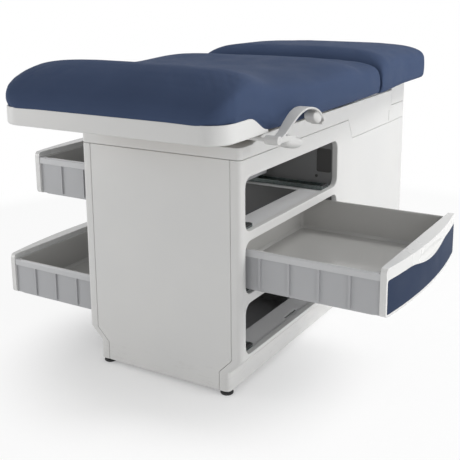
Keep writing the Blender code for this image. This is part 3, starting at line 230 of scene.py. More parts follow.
low_down = ramp(moulded_skin, low_down, 0.0, 0.14)
stretch = moulded_skin.nodes.new("ShaderNodeMapping")
stretch.inputs["Scale"].default_value = (1, 1, 5)
moulded_skin.links.new(coords, stretch.inputs["Vector"])
streaks = ramp(moulded_skin, noise(moulded_skin, stretch.outputs[0], 26, 4, 0.6), 0.56, 0.72)
scuffs = math_node(moulded_skin, "MULTIPLY", low_down, streaks)
moulded_skin.links.new(tint(moulded_skin, scuffs, toned, given.outputs["Scuff"]), made.inputs["Colour"])
pebble = noise(moulded_skin, coords, given.outputs["Pebble"], 2)
handled = ramp(moulded_skin, noise(moulded_skin, coords, 11, 3), 0.3, 0.7, -0.06, 0.06)
gloss = math_node(moulded_skin, "ADD", given.outputs["Gloss"], handled)
gloss = math_node(moulded_skin, "ADD", gloss, math_node(moulded_skin, "MULTIPLY", scuffs, 0.15))
moulded_skin.links.new(gloss, made.inputs["Roughness"])
moulded_skin.links.new(pebble, made.inputs["Height"])


def dressed(name, group, values, depth, **shader):
    """A material whose colour, roughness and relief come from a group, with fixed values on its shader."""
    material = bpy.data.materials.new(name)
    material.use_nodes = True
    tree = material.node_tree
    skin = tree.nodes.new("ShaderNodeGroup")
    skin.node_tree = group
    for label, value in values.items():
        skin.inputs[label].default_value = value
    surface = tree.nodes["Principled BSDF"]
    for label, value in shader.items():
        surface.inputs[label.replace("_", " ").title().replace("Ior", "IOR")].default_value = value
    relief = tree.nodes.new("ShaderNodeBump")
    relief.inputs["Distance"].default_value = depth
    chain(tree, (skin, "Colour", surface, "Base Color"), (skin, "Roughness", surface, "Roughness"),
          (skin, "Height", relief, "Height"), (relief, 0, surface, "Normal"))
    return material


white_moulding = dressed("white_moulding", moulded_skin, {
    "Colour": (0.715, 0.712, 0.700, 1), "Drift": (0.690, 0.690, 0.682, 1), "Scuff": (0.62, 0.615, 0.60, 1),
    "Gloss": 0.40, "Pebble": 900, "Scuff Height": 0.12}, 0.00012, specular_ior_level=0.45)


def merged(node):
    """A new mesh of a solid's surface with its loose triangles joined up and its flats made whole."""
    mesh = bpy.data.meshes.new(node + "_surface")
    bm = bmesh.new()
    bm.from_mesh(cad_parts[node].data)
    bmesh.ops.remove_doubles(bm, verts=bm.verts, dist=2e-5)
    bmesh.ops.dissolve_limit(bm, angle_limit=math.radians(1.2), verts=bm.verts, edges=bm.edges)
    bm.to_mesh(mesh)
    bm.free()
    return mesh


def settled(name, mesh, modifiers):
    """A plain smooth mesh object from a mesh and (name, kind, settings) modifiers, which are used up."""
    mesh.shade_smooth()
    blank = bpy.data.objects.new(name, mesh)
    bpy.context.scene.collection.objects.link(blank)
    for label, kind, settings in modifiers:
        modifier = blank.modifiers.new(label, kind)
        for key, value in settings.items():
            setattr(modifier, key, value)
    graph = bpy.context.evaluated_depsgraph_get()
    result = bpy.data.meshes.new_from_object(blank.evaluated_get(graph))
    blank.modifiers.clear()
    blank.data = result
    return blank


def fitted(piece, material, body, slot, *nodes):
    """Gives a finished piece its material, its body and the solids it stands for; its slot is not used."""
    piece.data.materials.clear()
    piece.data.materials.append(material)
    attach(piece, body)
    if nodes:
        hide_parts(*nodes)
    return piece


def rolled(node, radius, material, body, slot, segments=3):
    """A solid's surface with its sharp edges rolled over, standing for the solid."""
    piece = settled(node + "_skin", merged(node), (
        ("roll", "BEVEL", {"width": radius, "segments": segments, "limit_method": "ANGLE",
                           "angle_limit": math.radians(32), "use_clamp_overlap": True}),
        ("facets", "WEIGHTED_NORMAL", {"weight": 60})))
    return fitted(piece, material, body, slot, node)


for node, radius in (("right_side_panel", 0.004), ("left_side_panel", 0.004), ("head_end_panel", 0.0025),
                     ("foot_end_panel", 0.0025), ("top_skirt", 0.003)):
    rolled(node, radius, white_moulding, "base", "white_moulding")
skirt_low, skirt_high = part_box("top_skirt")
skirt_wall = 0.0122
flange_top = 0.671
flange_thick = 0.0025
flange_width = 0.085
flange_end = 0.020
left, right = skirt_low.x + skirt_wall, skirt_high.x - skirt_wall
head = skirt_low.y + skirt_wall
flange_outline = ((left, flange_end), (left, head), (right, head), (right, flange_end),
                  (right - flange_width, flange_end), (right - flange_width, head + flange_width),
                  (left + flange_width, head + flange_width), (left + flange_width, flange_end))
flange_mesh = bpy.data.meshes.new("skirt_flange")
flange_bm = bmesh.new()
flange_face = flange_bm.faces.new([flange_bm.verts.new((x, y, flange_top)) for x, y in flange_outline])
extruded = bmesh.ops.extrude_face_region(flange_bm, geom=[flange_face])["geom"]
lowered = [item for item in extruded if isinstance(item, bmesh.types.BMVert)]
bmesh.ops.translate(flange_bm, verts=lowered, vec=(0, 0, -flange_thick))
bmesh.ops.recalc_face_normals(flange_bm, faces=flange_bm.faces)
flange_bm.to_mesh(flange_mesh)
flange_bm.free()
flange = settled("skirt_flange", flange_mesh, (
    ("roll", "BEVEL", {"width": 0.001, "segments": 2}),
    ("facets", "WEIGHTED_NORMAL", {"weight": 60})))
fitted(flange, white_moulding, "base", "white_moulding")

# Inside the cabinet: a bulkhead with shallow pockets that shuts off the foot half, and three pale steel
# decks, folded and screwed in, that carry the drawer slides. The bulkhead's dark grey is partly painted
# shade on pale plastic, and its pockets are painted darker still as the shade inside them.
levels = ("bottom", "middle", "top")
grey_sheet = dressed("grey_sheet", moulded_skin, {
    "Colour": (0.79, 0.79, 0.79, 1), "Drift": (0.76, 0.76, 0.765, 1), "Scuff": (0.3, 0.3, 0.3, 1),
    "Gloss": 0.46, "Pebble": 700, "Scuff Height": 0.0}, 0.0001)
# On the bulkhead this dark grey is partly painted shade: the bulkhead is pale plastic standing in shade.
dark_sheet = dressed("dark_sheet", moulded_skin, {
    "Colour": (0.25, 0.25, 0.25, 1), "Drift": (0.225, 0.225, 0.23, 1), "Scuff": (0.3, 0.3, 0.3, 1),
    "Gloss": 0.55, "Pebble": 700, "Scuff Height": 0.0}, 0.0001)
for level in levels:
    rolled(level + "_drawer_deck", 0.0015, grey_sheet, "base", "grey_sheet")
# The bulkhead takes the dark grey, partly painted shade.
bulkhead = rolled("foot_bulkhead", 0.0010, dark_sheet, "base", "dark_sheet")
# The pockets' faces are painted near-black: painted shade for the shade inside the shallow recesses.
pocket_painted_shade = dressed("pocket_painted_shade", moulded_skin, {
    "Colour": (0.090, 0.088, 0.086, 1), "Drift": (0.080, 0.079, 0.077, 1), "Scuff": (0.2, 0.2, 0.2, 1),
    "Gloss": 0.6, "Pebble": 700, "Scuff Height": 0.0}, 0.0001)
bulkhead.data.materials.append(pocket_painted_shade)
bulkhead_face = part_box("foot_bulkhead")[0].y
pocket_start = 0.0012
pocket_end = 0.0050
# Faces at the pockets' depth take the painted shade.
for face in bulkhead.data.polygons:
    if pocket_start < face.center.y - bulkhead_face < pocket_end:
        face.material_index = 1

# Boards: the floor and the deck over the drawers are board painted grey, laid in between the panels. One
# group gives the grain of a face and the plies of an edge to these and to the boards under the cushions.
board_grain, given, made = group_tree(
    "board_grain",
    (("Colour", "NodeSocketColor"), ("Grain", "NodeSocketColor"), ("Veneer", "NodeSocketColor"),
     ("Plies", "NodeSocketFloat"), ("Figure", "NodeSocketFloat")),
    (("Colour", "NodeSocketColor"), ("Roughness", "NodeSocketFloat"), ("Height", "NodeSocketFloat")))
texture = board_grain.nodes.new("ShaderNodeTexCoord")
coords = texture.outputs["Object"]
along = board_grain.nodes.new("ShaderNodeMapping")
along.inputs["Scale"].default_value = (9, 0.7, 9)
board_grain.links.new(coords, along.inputs["Vector"])
fibre = noise(board_grain, along.outputs[0], 14, 5, 0.62)
figure = math_node(board_grain, "MULTIPLY", ramp(board_grain, fibre, 0.38, 0.66), given.outputs["Figure"])
face_tone = tint(board_grain, figure, given.outputs["Colour"], given.outputs["Grain"])
split = board_grain.nodes.new("ShaderNodeSeparateXYZ")
board_grain.links.new(coords, split.inputs[0])
layers = math_node(board_grain, "MULTIPLY", split.outputs["Z"], given.outputs["Plies"])
ply = ramp(board_grain, math_node(board_grain, "FRACT", layers), 0.46, 0.54)
facing = board_grain.nodes.new("ShaderNodeSeparateXYZ")
board_grain.links.new(texture.outputs["Normal"], facing.inputs[0])
edge = ramp(board_grain, math_node(board_grain, "ABSOLUTE", facing.outputs["Z"]), 0.4, 0.6, 1, 0)
ply = math_node(board_grain, "MULTIPLY", ply, edge)
board_grain.links.new(tint(board_grain, ply, face_tone, given.outputs["Veneer"]), made.inputs["Colour"])
board_grain.links.new(ramp(board_grain, fibre, 0.2, 0.8, 0.5, 0.72), made.inputs["Roughness"])
board_grain.links.new(fibre, made.inputs["Height"])
painted_board = dressed("painted_board", board_grain, {
    "Colour": (0.43, 0.43, 0.435, 1), "Grain": (0.39, 0.39, 0.40, 1), "Veneer": (0.41, 0.41, 0.42, 1),
    "Plies": 300, "Figure": 0.5}, 0.0002)
for node in ("base_floor", "top_deck"):
    rolled(node, 0.0012, painted_board, "base", "painted_board")

# Levelling feet: round black rubber pads under the four corners, narrower at the top, each screwed into the
# floor board from below.
black_rubber = dressed("black_rubber", moulded_skin, {
    "Colour": (0.020, 0.020, 0.021, 1), "Drift": (0.030, 0.030, 0.031, 1), "Scuff": (0.10, 0.098, 0.095, 1),
    "Gloss": 0.62, "Pebble": 1400, "Scuff Height": 0.02}, 0.00015, specular_ior_level=0.35)
for end in ("head", "foot"):
    for hand in ("left", "right"):
        rolled(f"levelling_foot_{end}_{hand}", 0.0018, black_rubber, "base", "black_rubber")

# Drawer slides: channels of plated steel on the decks and runners under the drawers, drawn sections with a
# dark oxide tone, riveted down along the middle. The top edge of each channel is painted light teal as a
# highlight.
plated_sheet, given, made = group_tree(
    "plated_sheet",
    (("Colour", "NodeSocketColor"), ("Bloom", "NodeSocketColor"), ("Gloss", "NodeSocketFloat")),
    (("Colour", "NodeSocketColor"), ("Roughness", "NodeSocketFloat"), ("Height", "NodeSocketFloat")))
coords = plated_sheet.nodes.new("ShaderNodeTexCoord").outputs["Object"]
spangle = plated_sheet.nodes.new("ShaderNodeTexVoronoi")
spangle.inputs["Scale"].default_value = 160
plated_sheet.links.new(coords, spangle.inputs["Vector"])
mottle = ramp(plated_sheet, spangle.outputs["Color"], 0.2, 0.8)
plated_sheet.links.new(tint(plated_sheet, mottle, given.outputs["Colour"], given.outputs["Bloom"]),
                       made.inputs["Colour"])
drawn = plated_sheet.nodes.new("ShaderNodeMapping")
drawn.inputs["Scale"].default_value = (2, 60, 60)
plated_sheet.links.new(coords, drawn.inputs["Vector"])
lines = noise(plated_sheet, drawn.outputs[0], 12, 3)
rubbed = ramp(plated_sheet, lines, 0.3, 0.7, -0.08, 0.10)
dulled = math_node(plated_sheet, "ADD", given.outputs["Gloss"], rubbed)
plated_sheet.links.new(dulled, made.inputs["Roughness"])
plated_sheet.links.new(lines, made.inputs["Height"])
zinc_steel = dressed("zinc_steel", plated_sheet, {
    "Colour": (0.56, 0.57, 0.58, 1), "Bloom": (0.47, 0.485, 0.50, 1), "Gloss": 0.36}, 0.00008, metallic=1.0)
slide_steel = dressed("slide_steel", plated_sheet, {
    "Colour": (0.20, 0.225, 0.22, 1), "Bloom": (0.15, 0.18, 0.175, 1), "Gloss": 0.38}, 0.00008, metallic=1.0)
# A light teal steel for the channels' top edges: a painted highlight.
channel_highlight_steel = dressed("channel_highlight_steel", plated_sheet, {
    "Colour": (0.60, 0.68, 0.66, 1), "Bloom": (0.50, 0.58, 0.56, 1), "Gloss": 0.28}, 0.00005, metallic=1.0)
highlight_band = 0.0012
for level in levels:
    for end in ("head", "foot"):
        name = f"{level}_slide_channel_{end}"
        channel = rolled(name, 0.0008, slide_steel, "base", "zinc_steel")
        channel.data.materials.append(channel_highlight_steel)
        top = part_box(name)[1].z
        # Faces at the top of the channel take the painted highlight.
        for face in channel.data.polygons:
            if face.center.z > top - highlight_band:
                face.material_index = 1
        rolled(f"{level}_drawer_runner_{end}", 0.0008, slide_steel, f"drawer_{level}", "zinc_steel")

# Slide fittings: domed rivets along the floor of every channel, and a black rubber stop at the end of each
# one that the closed drawer comes up to.


def grown(name, mesh, nodes, values):
    """A plain mesh object made by a Geometry Nodes tree, with the tree's named inputs set."""
    piece = bpy.data.objects.new(name, mesh)
    bpy.context.scene.collection.objects.link(piece)
    modifier = piece.modifiers.new("grow", "NODES")
    modifier.node_group = nodes
    for socket in nodes.interface.items_tree:
        if socket.in_out == "INPUT" and socket.name in values:
            modifier[socket.identifier] = values[socket.name]
    graph = bpy.context.evaluated_depsgraph_get()
    result = bpy.data.meshes.new_from_object(piece.evaluated_get(graph))
    piece.modifiers.clear()
    piece.data = result
    result.shade_smooth()
    return piece


def growing_tree(name, inputs):
    """A Geometry Nodes tree with a mesh in and out and more named inputs; returns it and its two ends."""
    nodes = bpy.data.node_groups.new(name, "GeometryNodeTree")
    for label, kind in (("Mesh", "NodeSocketGeometry"),) + inputs:
        nodes.interface.new_socket(label, in_out="INPUT", socket_type=kind)
    nodes.interface.new_socket("Mesh", in_out="OUTPUT", socket_type="NodeSocketGeometry")
    return nodes, nodes.nodes.new("NodeGroupInput"), nodes.nodes.new("NodeGroupOutput")


stud_rows, given, made = growing_tree("stud_rows", (
    ("Spacing", "NodeSocketFloat"), ("Radius", "NodeSocketFloat"), ("Rise", "NodeSocketFloat"),
    ("Finish", "NodeSocketMaterial")))
rows = stud_rows.nodes.new("GeometryNodeMeshToCurve")
spots = stud_rows.nodes.new("GeometryNodeCurveToPoints")
spots.mode = "LENGTH"
outward = stud_rows.nodes.new("GeometryNodeInputNamedAttribute")
outward.data_type = "FLOAT_VECTOR"
outward.inputs["Name"].default_value = "out"
aim = stud_rows.nodes.new("FunctionNodeAlignRotationToVector")
aim.axis = "Z"
dome = stud_rows.nodes.new("GeometryNodeMeshUVSphere")
dome.inputs["Segments"].default_value = 16
dome.inputs["Rings"].default_value = 8
squat = stud_rows.nodes.new("ShaderNodeCombineXYZ")
heads = stud_rows.nodes.new("GeometryNodeInstanceOnPoints")
real = stud_rows.nodes.new("GeometryNodeRealizeInstances")
finish = stud_rows.nodes.new("GeometryNodeSetMaterial")
chain(stud_rows, (given, "Mesh", rows, "Mesh"), (rows, "Curve", spots, "Curve"),
      (given, "Spacing", spots, "Length"), (spots, "Points", heads, "Points"),
      (dome, "Mesh", heads, "Instance"), (outward, "Attribute", aim, "Vector"),
      (aim, "Rotation", heads, "Rotation"), (given, "Radius", squat, "X"),
      (given, "Radius", squat, "Y"), (given, "Rise", squat, "Z"), (squat, 0, heads, "Scale"),
      (heads, 0, real, 0), (real, 0, finish, 0), (given, "Finish", finish, "Material"),
      (finish, 0, made, 0))


def studs(name, rows, spacing, radius, rise, material, body, slot):
    """Domed heads at even spacing along (start, end, outward) rows, as one piece."""
    mesh = bpy.data.meshes.new(name)
    ends = [end for row in rows for end in row[:2]]
    mesh.from_pydata(ends, [(2 * i, 2 * i + 1) for i in range(len(rows))], [])
    way = mesh.attributes.new("out", "FLOAT_VECTOR", "POINT")
    for i, row in enumerate(rows):
        way.data[2 * i].vector = row[2]
        way.data[2 * i + 1].vector = row[2]
    piece = grown(name, mesh, stud_rows, {
        "Spacing": spacing, "Radius": radius, "Rise": rise, "Finish": material})
    return fitted(piece, material, body, slot)


def blocks(name, boxes, radius):
    """Plain blocks from (low, high) corners with rolled edges, as one piece."""
    mesh = bpy.data.meshes.new(name)
    bm = bmesh.new()
    for low, high in boxes:
        low, high = Vector(low), Vector(high)
        size = high - low
        place = Matrix.Translation((low + high) / 2) @ Matrix.Diagonal((size.x, size.y, size.z, 1))
        bmesh.ops.create_cube(bm, size=1, matrix=place)
    bm.to_mesh(mesh)
    bm.free()
    return settled(name, mesh, (("roll", "BEVEL", {"width": radius, "segments": 2}),
                                ("facets", "WEIGHTED_NORMAL", {"weight": 60})))


channel_floor = 0.0062
channel_wall = 0.0030
rivet_margin = 0.030
rivet_spacing = 0.1024
rivet_radius = 0.0042
rivet_rise = 0.0016
stop_length = 0.010
stop_height = 0.0074
stop_end_gap = 0.0007
stop_side_gap = 0.0005
stop_lift = 0.0001
rivet_rows = []
stops = []
for level in levels:
    for end in ("head", "foot"):
        low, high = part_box(f"{level}_slide_channel_{end}")
        y = (low.y + high.y) / 2
        z = low.z + channel_floor
        rivet_rows.append(((low.x + rivet_margin, y, z), (high.x - rivet_margin, y, z), (0, 0, 1)))
        inner = high.x - stop_end_gap - stop_length
        if level == "middle":
            inner = low.x + stop_end_gap
        stops.append(((inner, low.y + channel_wall + stop_side_gap, z + stop_lift),
                      (inner + stop_length, high.y - channel_wall - stop_side_gap, z + stop_height)))
studs("slide_rivets", rivet_rows, rivet_spacing, rivet_radius, rivet_rise, zinc_steel, "base", "zinc_steel")
fitted(blocks("drawer_stops", stops, 0.0012), black_rubber, "base", "black_rubber")

# Drawers: grey moulded tubs with a rolled rim and outer ribs, off-white bowed fronts with a finger scoop,
# hooked over the tub's end, and a slate-blue insert pressed into each front.
grey_moulding = dressed("grey_moulding", moulded_skin, {
    "Colour": (0.455, 0.460, 0.475, 1), "Drift": (0.435, 0.440, 0.452, 1), "Scuff": (0.34, 0.34, 0.34, 1),
    "Gloss": 0.40, "Pebble": 800, "Scuff Height": 0.0}, 0.00012)
blue_insert = dressed("blue_insert", moulded_skin, {
    "Colour": (0.031, 0.046, 0.086, 1), "Drift": (0.029, 0.043, 0.081, 1), "Scuff": (0.12, 0.15, 0.2, 1),
    "Gloss": 0.55, "Pebble": 900, "Scuff Height": 0.0}, 0.0001, specular_ior_level=0.05)
# The fronts are the shell's off-white painted a little lighter: painted light on the fronts and their
# scoops.
front_moulding_painted_light = dressed("front_moulding_painted_light", moulded_skin, {
    "Colour": (0.745, 0.742, 0.730, 1), "Drift": (0.720, 0.720, 0.712, 1), "Scuff": (0.62, 0.615, 0.60, 1),
    "Gloss": 0.24, "Pebble": 700, "Scuff Height": 0.0}, 0.00006, specular_ior_level=0.6)
# The tub's inside is the same grey plastic painted lighter and warmer: painted light on its floor and walls.
tub_inside_painted_light = dressed("grey_moulding_inside_painted_light", moulded_skin, {
    "Colour": (0.53, 0.525, 0.510, 1), "Drift": (0.51, 0.505, 0.492, 1), "Scuff": (0.3, 0.3, 0.29, 1),
    "Gloss": 0.15, "Pebble": 160, "Scuff Height": 0.0}, 0.00003, specular_ior_level=0.7)
# A lighter grey for the top of the tub's rim: a painted highlight on the same grey plastic.
tub_rim_highlight = dressed("grey_moulding_rim_highlight", moulded_skin, {
    "Colour": (0.58, 0.585, 0.595, 1), "Drift": (0.56, 0.565, 0.575, 1), "Scuff": (0.4, 0.4, 0.4, 1),
    "Gloss": 0.34, "Pebble": 800, "Scuff Height": 0.0}, 0.0001)
painted_light_inset = Vector((0.0085, 0.0085, 0.010))
rim_height = 0.0175
for level in levels:
    body = f"drawer_{level}"
    tub = rolled(f"{level}_drawer_tub", 0.0014, grey_moulding, body, "grey_moulding")
    tub.data.materials.append(tub_inside_painted_light)
    tub.data.materials.append(tub_rim_highlight)
    low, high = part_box(f"{level}_drawer_tub")
    rim_low = high.z - rim_height
    low, high = low + painted_light_inset, high - painted_light_inset
    for face in tub.data.polygons:
        x, y, z = face.center
        # Faces at the rim's height take the painted highlight.
        if z > rim_low:
            face.material_index = 2
        # Faces inside the tub take the painted light.
        if low.x < x < high.x and low.y < y < high.y and z > low.z:
            face.material_index = 1
    rolled(f"{level}_drawer_front", 0.0025, front_moulding_painted_light, body, "white_moulding")
    rolled(f"{level}_drawer_insert", 0.0008, blue_insert, body, "blue_insert")

# Foot end: the leg rest slides on two plated rails under the seat, a dark pan with a thin pad and the white
# cap that closes the skirt; below it a white box step with a ribbed rubber tread pulls out.
for hand in ("left", "right"):
    rolled(f"leg_rest_rail_{hand}", 0.001, zinc_steel, "base", "zinc_steel")
rolled("leg_rest_pan", 0.0015, dark_sheet, "leg_rest", "dark_sheet")
rolled("leg_rest_cap", 0.003, white_moulding, "leg_rest", "white_moulding")
rolled("step_box", 0.002, white_moulding, "step", "white_moulding")
rolled("step_tread", 0.0008, black_rubber, "step", "black_rubber")
tread_ribs, given, made = growing_tree("tread_ribs", (
    ("Count", "NodeSocketInt"), ("First", "NodeSocketVector"), ("Pitch", "NodeSocketVector"),
    ("Bar", "NodeSocketVector"), ("Finish", "NodeSocketMaterial")))
places = tread_ribs.nodes.new("GeometryNodeMeshLine")
bar = tread_ribs.nodes.new("GeometryNodeMeshCube")
bars = tread_ribs.nodes.new("GeometryNodeInstanceOnPoints")
real = tread_ribs.nodes.new("GeometryNodeRealizeInstances")
finish = tread_ribs.nodes.new("GeometryNodeSetMaterial")
chain(tread_ribs, (given, "Count", places, "Count"), (given, "First", places, "Start Location"),
      (given, "Pitch", places, "Offset"), (given, "Bar", bar, "Size"), (places, "Mesh", bars, "Points"),
      (bar, "Mesh", bars, "Instance"), (bars, 0, real, 0), (real, 0, finish, 0),
      (given, "Finish", finish, "Material"), (finish, 0, made, 0))
low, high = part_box("step_tread")
rib_count = 13
rib_width = 0.008
rib_height = 0.0008
end_margin = 0.012
side_margin = 0.010
rib_pitch = (high.y - low.y - 2 * end_margin) / (rib_count - 1)
ribs = grown("step_tread_ribs", bpy.data.meshes.new("step_tread_ribs"), tread_ribs, {
    "Count": rib_count, "First": ((low.x + high.x) / 2, low.y + end_margin, high.z),
    "Pitch": (0, rib_pitch, 0), "Bar": (high.x - low.x - 2 * side_margin, rib_width, 2 * rib_height),
    "Finish": black_rubber})
ribs.data.shade_flat()
fitted(ribs, black_rubber, "step", "black_rubber")

# Cushion boards: the seat board is painted white, the back board is bare plywood with its screws showing.
# The back board turns on a pair of plated hinge ears, and a black gas spring between the anchor on the top
# deck and the bracket under the board holds it up.
plywood = dressed("plywood", board_grain, {
    "Colour": (0.36, 0.27, 0.17, 1), "Grain": (0.27, 0.19, 0.11, 1), "Veneer": (0.17, 0.115, 0.065, 1),
    "Plies": 330, "Figure": 1.0}, 0.0003)
white_board = dressed("white_board", board_grain, {
    "Colour": (0.68, 0.68, 0.67, 1), "Grain": (0.64, 0.64, 0.63, 1), "Veneer": (0.66, 0.66, 0.65, 1),
    "Plies": 300, "Figure": 0.4}, 0.0002)
rolled("seat_board", 0.0015, white_board, "base", "painted_board")
rolled("back_board", 0.0015, plywood, "back", "plywood")
low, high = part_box("back_board")
screw_spacing = 0.1178
screw_radius = 0.0048
screw_rise = 0.0018
screw_inset = 0.022
cross_inset = 0.105
first, last, down = low.y + 0.030, high.y - 0.100, (0, 0, -1)
screw_rows = [((x, first, low.z), (x, last, low.z), down)
              for x in (low.x + screw_inset, high.x - screw_inset)]
screw_rows.append(((low.x + cross_inset, first, low.z), (high.x - cross_inset, first, low.z), down))
studs("board_screws", screw_rows, screw_spacing, screw_radius, screw_rise, zinc_steel, "back", "zinc_steel")
for hand in ("left", "right"):
    rolled(f"hinge_ear_fixed_{hand}", 0.0007, zinc_steel, "base", "zinc_steel")
    rolled(f"hinge_ear_moving_{hand}", 0.0007, zinc_steel, "back", "zinc_steel")
black_paint = dressed("black_paint", moulded_skin, {
    "Colour": (0.018, 0.018, 0.019, 1), "Drift": (0.024, 0.024, 0.025, 1), "Scuff": (0.1, 0.1, 0.1, 1),
    "Gloss": 0.26, "Pebble": 260, "Scuff Height": 0.0}, 0.00004, coat_weight=0.3)
rolled("gas_spring_cylinder", 0.0008, black_paint, "spring_cylinder", "black_paint")
rolled("gas_spring_rod", 0.0005, zinc_steel, "spring_rod", "zinc_steel")
rolled("spring_anchor", 0.0007, zinc_steel, "base", "zinc_steel")
rolled("spring_bracket", 0.0007, zinc_steel, "back", "zinc_steel")

# The head pan, an off-white moulding that holds the back cushion by its rim, and the release lever on its
# right: a moulded strap that widens and curls over into a roll, with a finger grip under its root. Its shaft
# turns in a plated block under the board.
rolled("head_pan", 0.0012, white_moulding, "back", "white_moulding")
rolled("lever_bracket", 0.0015, zinc_steel, "back", "zinc_steel")
lever_low, lever_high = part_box("release_lever")
hub_radius = 0.011
shaft_radius = 0.005
axis_drop = 0.0089
axis = Vector((lever_low.y + hub_radius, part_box("lever_bracket")[1].z - axis_drop))
strap_knots = ((0.000, 0.000), (0.032, 0.013), (0.064, 0.032), (0.098, 0.049), (0.136, 0.057),
               (0.178, 0.052), (0.213, 0.036), (0.234, 0.014), (0.222, 0.006))
strap_thick = 0.005
strap_width = 0.033
root_width = 0.021
widening = 18
grip_half = 0.0155
strap_x = lever_high.x - strap_width / 2


def through(points, steps):
    """A smooth line through points, with so many steps between each pair."""
    ends = [points[0]] + points + [points[-1]]
    line = []
    for a, b, c, d in zip(ends, ends[1:], ends[2:], ends[3:]):
        for i in range(steps):
            t = i / steps
            line.append((2 * b + (c - a) * t + (2 * a - 5 * b + 4 * c - d) * t ** 2
                         + (3 * b - a - 3 * c + d) * t ** 3) / 2)
    return line + [points[-1]]


def skinned(bm, rings):
    """A closed tube through rings of points, with a face over each end."""
    loops = [[bm.verts.new(point) for point in ring] for ring in rings]
    count = len(loops[0])
    for near, far in zip(loops, loops[1:]):
        for i in range(count):
            bm.faces.new((near[i], near[(i + 1) % count], far[(i + 1) % count], far[i]))
    bm.faces.new(reversed(loops[0]))
    bm.faces.new(loops[-1])


def slab(bm, outline, start, end, dome=0.0):
    """A prism along X from an outline of (y, z) past the lever's axis, its far end domed by so much."""
    centre = sum((Vector(point) for point in outline), Vector((0, 0))) / len(outline)
    rings = [[(start, axis.x + y, axis.y + z) for y, z in outline]]
    dome_rings = 6
    for i in range(dome_rings):
        angle = math.pi / 2 * i / dome_rings
        x = end - dome * (1 - math.sin(angle))
        shrunk = [axis + centre.lerp(Vector(point), math.cos(angle)) for point in outline]
        rings.append([(x, y, z) for y, z in shrunk])
    skinned(bm, rings)


def oval(centre, across, upward, count=28):
    """An oval outline from its centre and two half axes."""
    turns = [2 * math.pi * i / count for i in range(count)]
    return [Vector(centre) + Vector(across) * math.cos(a) + Vector(upward) * math.sin(a) for a in turns]


lever_bm = bmesh.new()
strap_line = through([axis + Vector(knot) for knot in strap_knots], 5)
rings = []
for i, spot in enumerate(strap_line):
    way = strap_line[min(i + 1, len(strap_line) - 1)] - strap_line[max(i - 1, 0)]
    rise = Vector((-way.y, way.x)).normalized() * strap_thick / 2
    half = (root_width + (strap_width - root_width) * min(1, i / widening)) / 2
    upper, lower = spot + rise, spot - rise
    rings.append([(strap_x - half, upper.x, upper.y), (strap_x + half, upper.x, upper.y),
                  (strap_x + half, lower.x, lower.y), (strap_x - half, lower.x, lower.y)])
skinned(lever_bm, rings)
hub = oval((0, 0), (hub_radius, 0), (0, hub_radius))
shaft = oval((0, 0), (shaft_radius, 0), (0, shaft_radius))
root_bar = ((-0.004, -0.008), (0.085, -0.009), (0.092, -0.003), (0.060, 0.004), (0.000, 0.008))
grip = oval((0.089, -0.020), (0.046, -0.008), (0.003, 0.0145))
roll = oval((0.204, 0.025), (0.023, -0.009), (0.005, 0.013))
slab(lever_bm, hub, strap_x - 0.026, strap_x + 0.010)
slab(lever_bm, shaft, lever_low.x, strap_x)
slab(lever_bm, root_bar, strap_x - 0.012, strap_x + 0.009)
slab(lever_bm, grip, strap_x - grip_half, strap_x + grip_half, dome=0.016)
slab(lever_bm, roll, strap_x - grip_half, strap_x + grip_half, dome=0.006)
bmesh.ops.recalc_face_normals(lever_bm, faces=lever_bm.faces)
lever_mesh = bpy.data.meshes.new("release_lever")
lever_bm.to_mesh(lever_mesh)
lever_bm.free()
lever = settled("release_lever_moulding", lever_mesh, (
    ("blend", "REMESH", {"mode": "VOXEL", "voxel_size": 0.0009, "use_smooth_shade": True}),
    ("soften", "SMOOTH", {"factor": 0.5, "iterations": 6})))
lever.data.shade_smooth()
# The lever is the off-white moulding painted a darker grey: painted shade on its strap, grip and roll.
lever_moulding_painted_shade = dressed("lever_moulding_painted_shade", moulded_skin, {
    "Colour": (0.60, 0.597, 0.588, 1), "Drift": (0.57, 0.57, 0.563, 1), "Scuff": (0.57, 0.57, 0.563, 1),
    "Gloss": 0.42, "Pebble": 900, "Scuff Height": 0.0}, 0.00008, specular_ior_level=0.45)
fitted(lever, lever_moulding_painted_shade, "lever", "white_moulding", "release_lever")

# Upholstery: seamless vinyl drawn over foam, swelled a little by the foam's pressure and flat underneath.
# The back cushion stands in the head pan, the seat cushion on its board and the cap, and the thin pad in
# the leg rest's pan.
vinyl = bpy.data.materials.new("blue_vinyl")
vinyl.use_nodes = True
tree = vinyl.node_tree
surface = tree.nodes["Principled BSDF"]
coords = tree.nodes.new("ShaderNodeTexCoord").outputs["Object"]
cells = tree.nodes.new("ShaderNodeTexVoronoi")
cells.feature = "DISTANCE_TO_EDGE"
cells.inputs["Scale"].default_value = 520
tree.links.new(coords, cells.inputs["Vector"])
hide = ramp(tree, cells.outputs["Distance"], 0.0, 0.25)
clouds = ramp(tree, noise(tree, coords, 4.5, 3), 0.3, 0.7)
tone = tint(tree, clouds, (0.054, 0.078, 0.143, 1), (0.059, 0.085, 0.156, 1))
tree.links.new(tone, surface.inputs["Base Color"])
tree.links.new(ramp(tree, noise(tree, coords, 16, 3), 0.3, 0.7, 0.56, 0.68), surface.inputs["Roughness"])
surface.inputs["Specular IOR Level"].default_value = 0.03
relief = tree.nodes.new("ShaderNodeBump")
relief.inputs["Distance"].default_value = 0.00018
tree.links.new(hide, relief.inputs["Height"])
tree.links.new(relief.outputs[0], surface.inputs["Normal"])
back_low, back_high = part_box("back_cushion")
corner_reach = 0.14
corner_across = 0.16
corner_push = (0.006, -0.004)


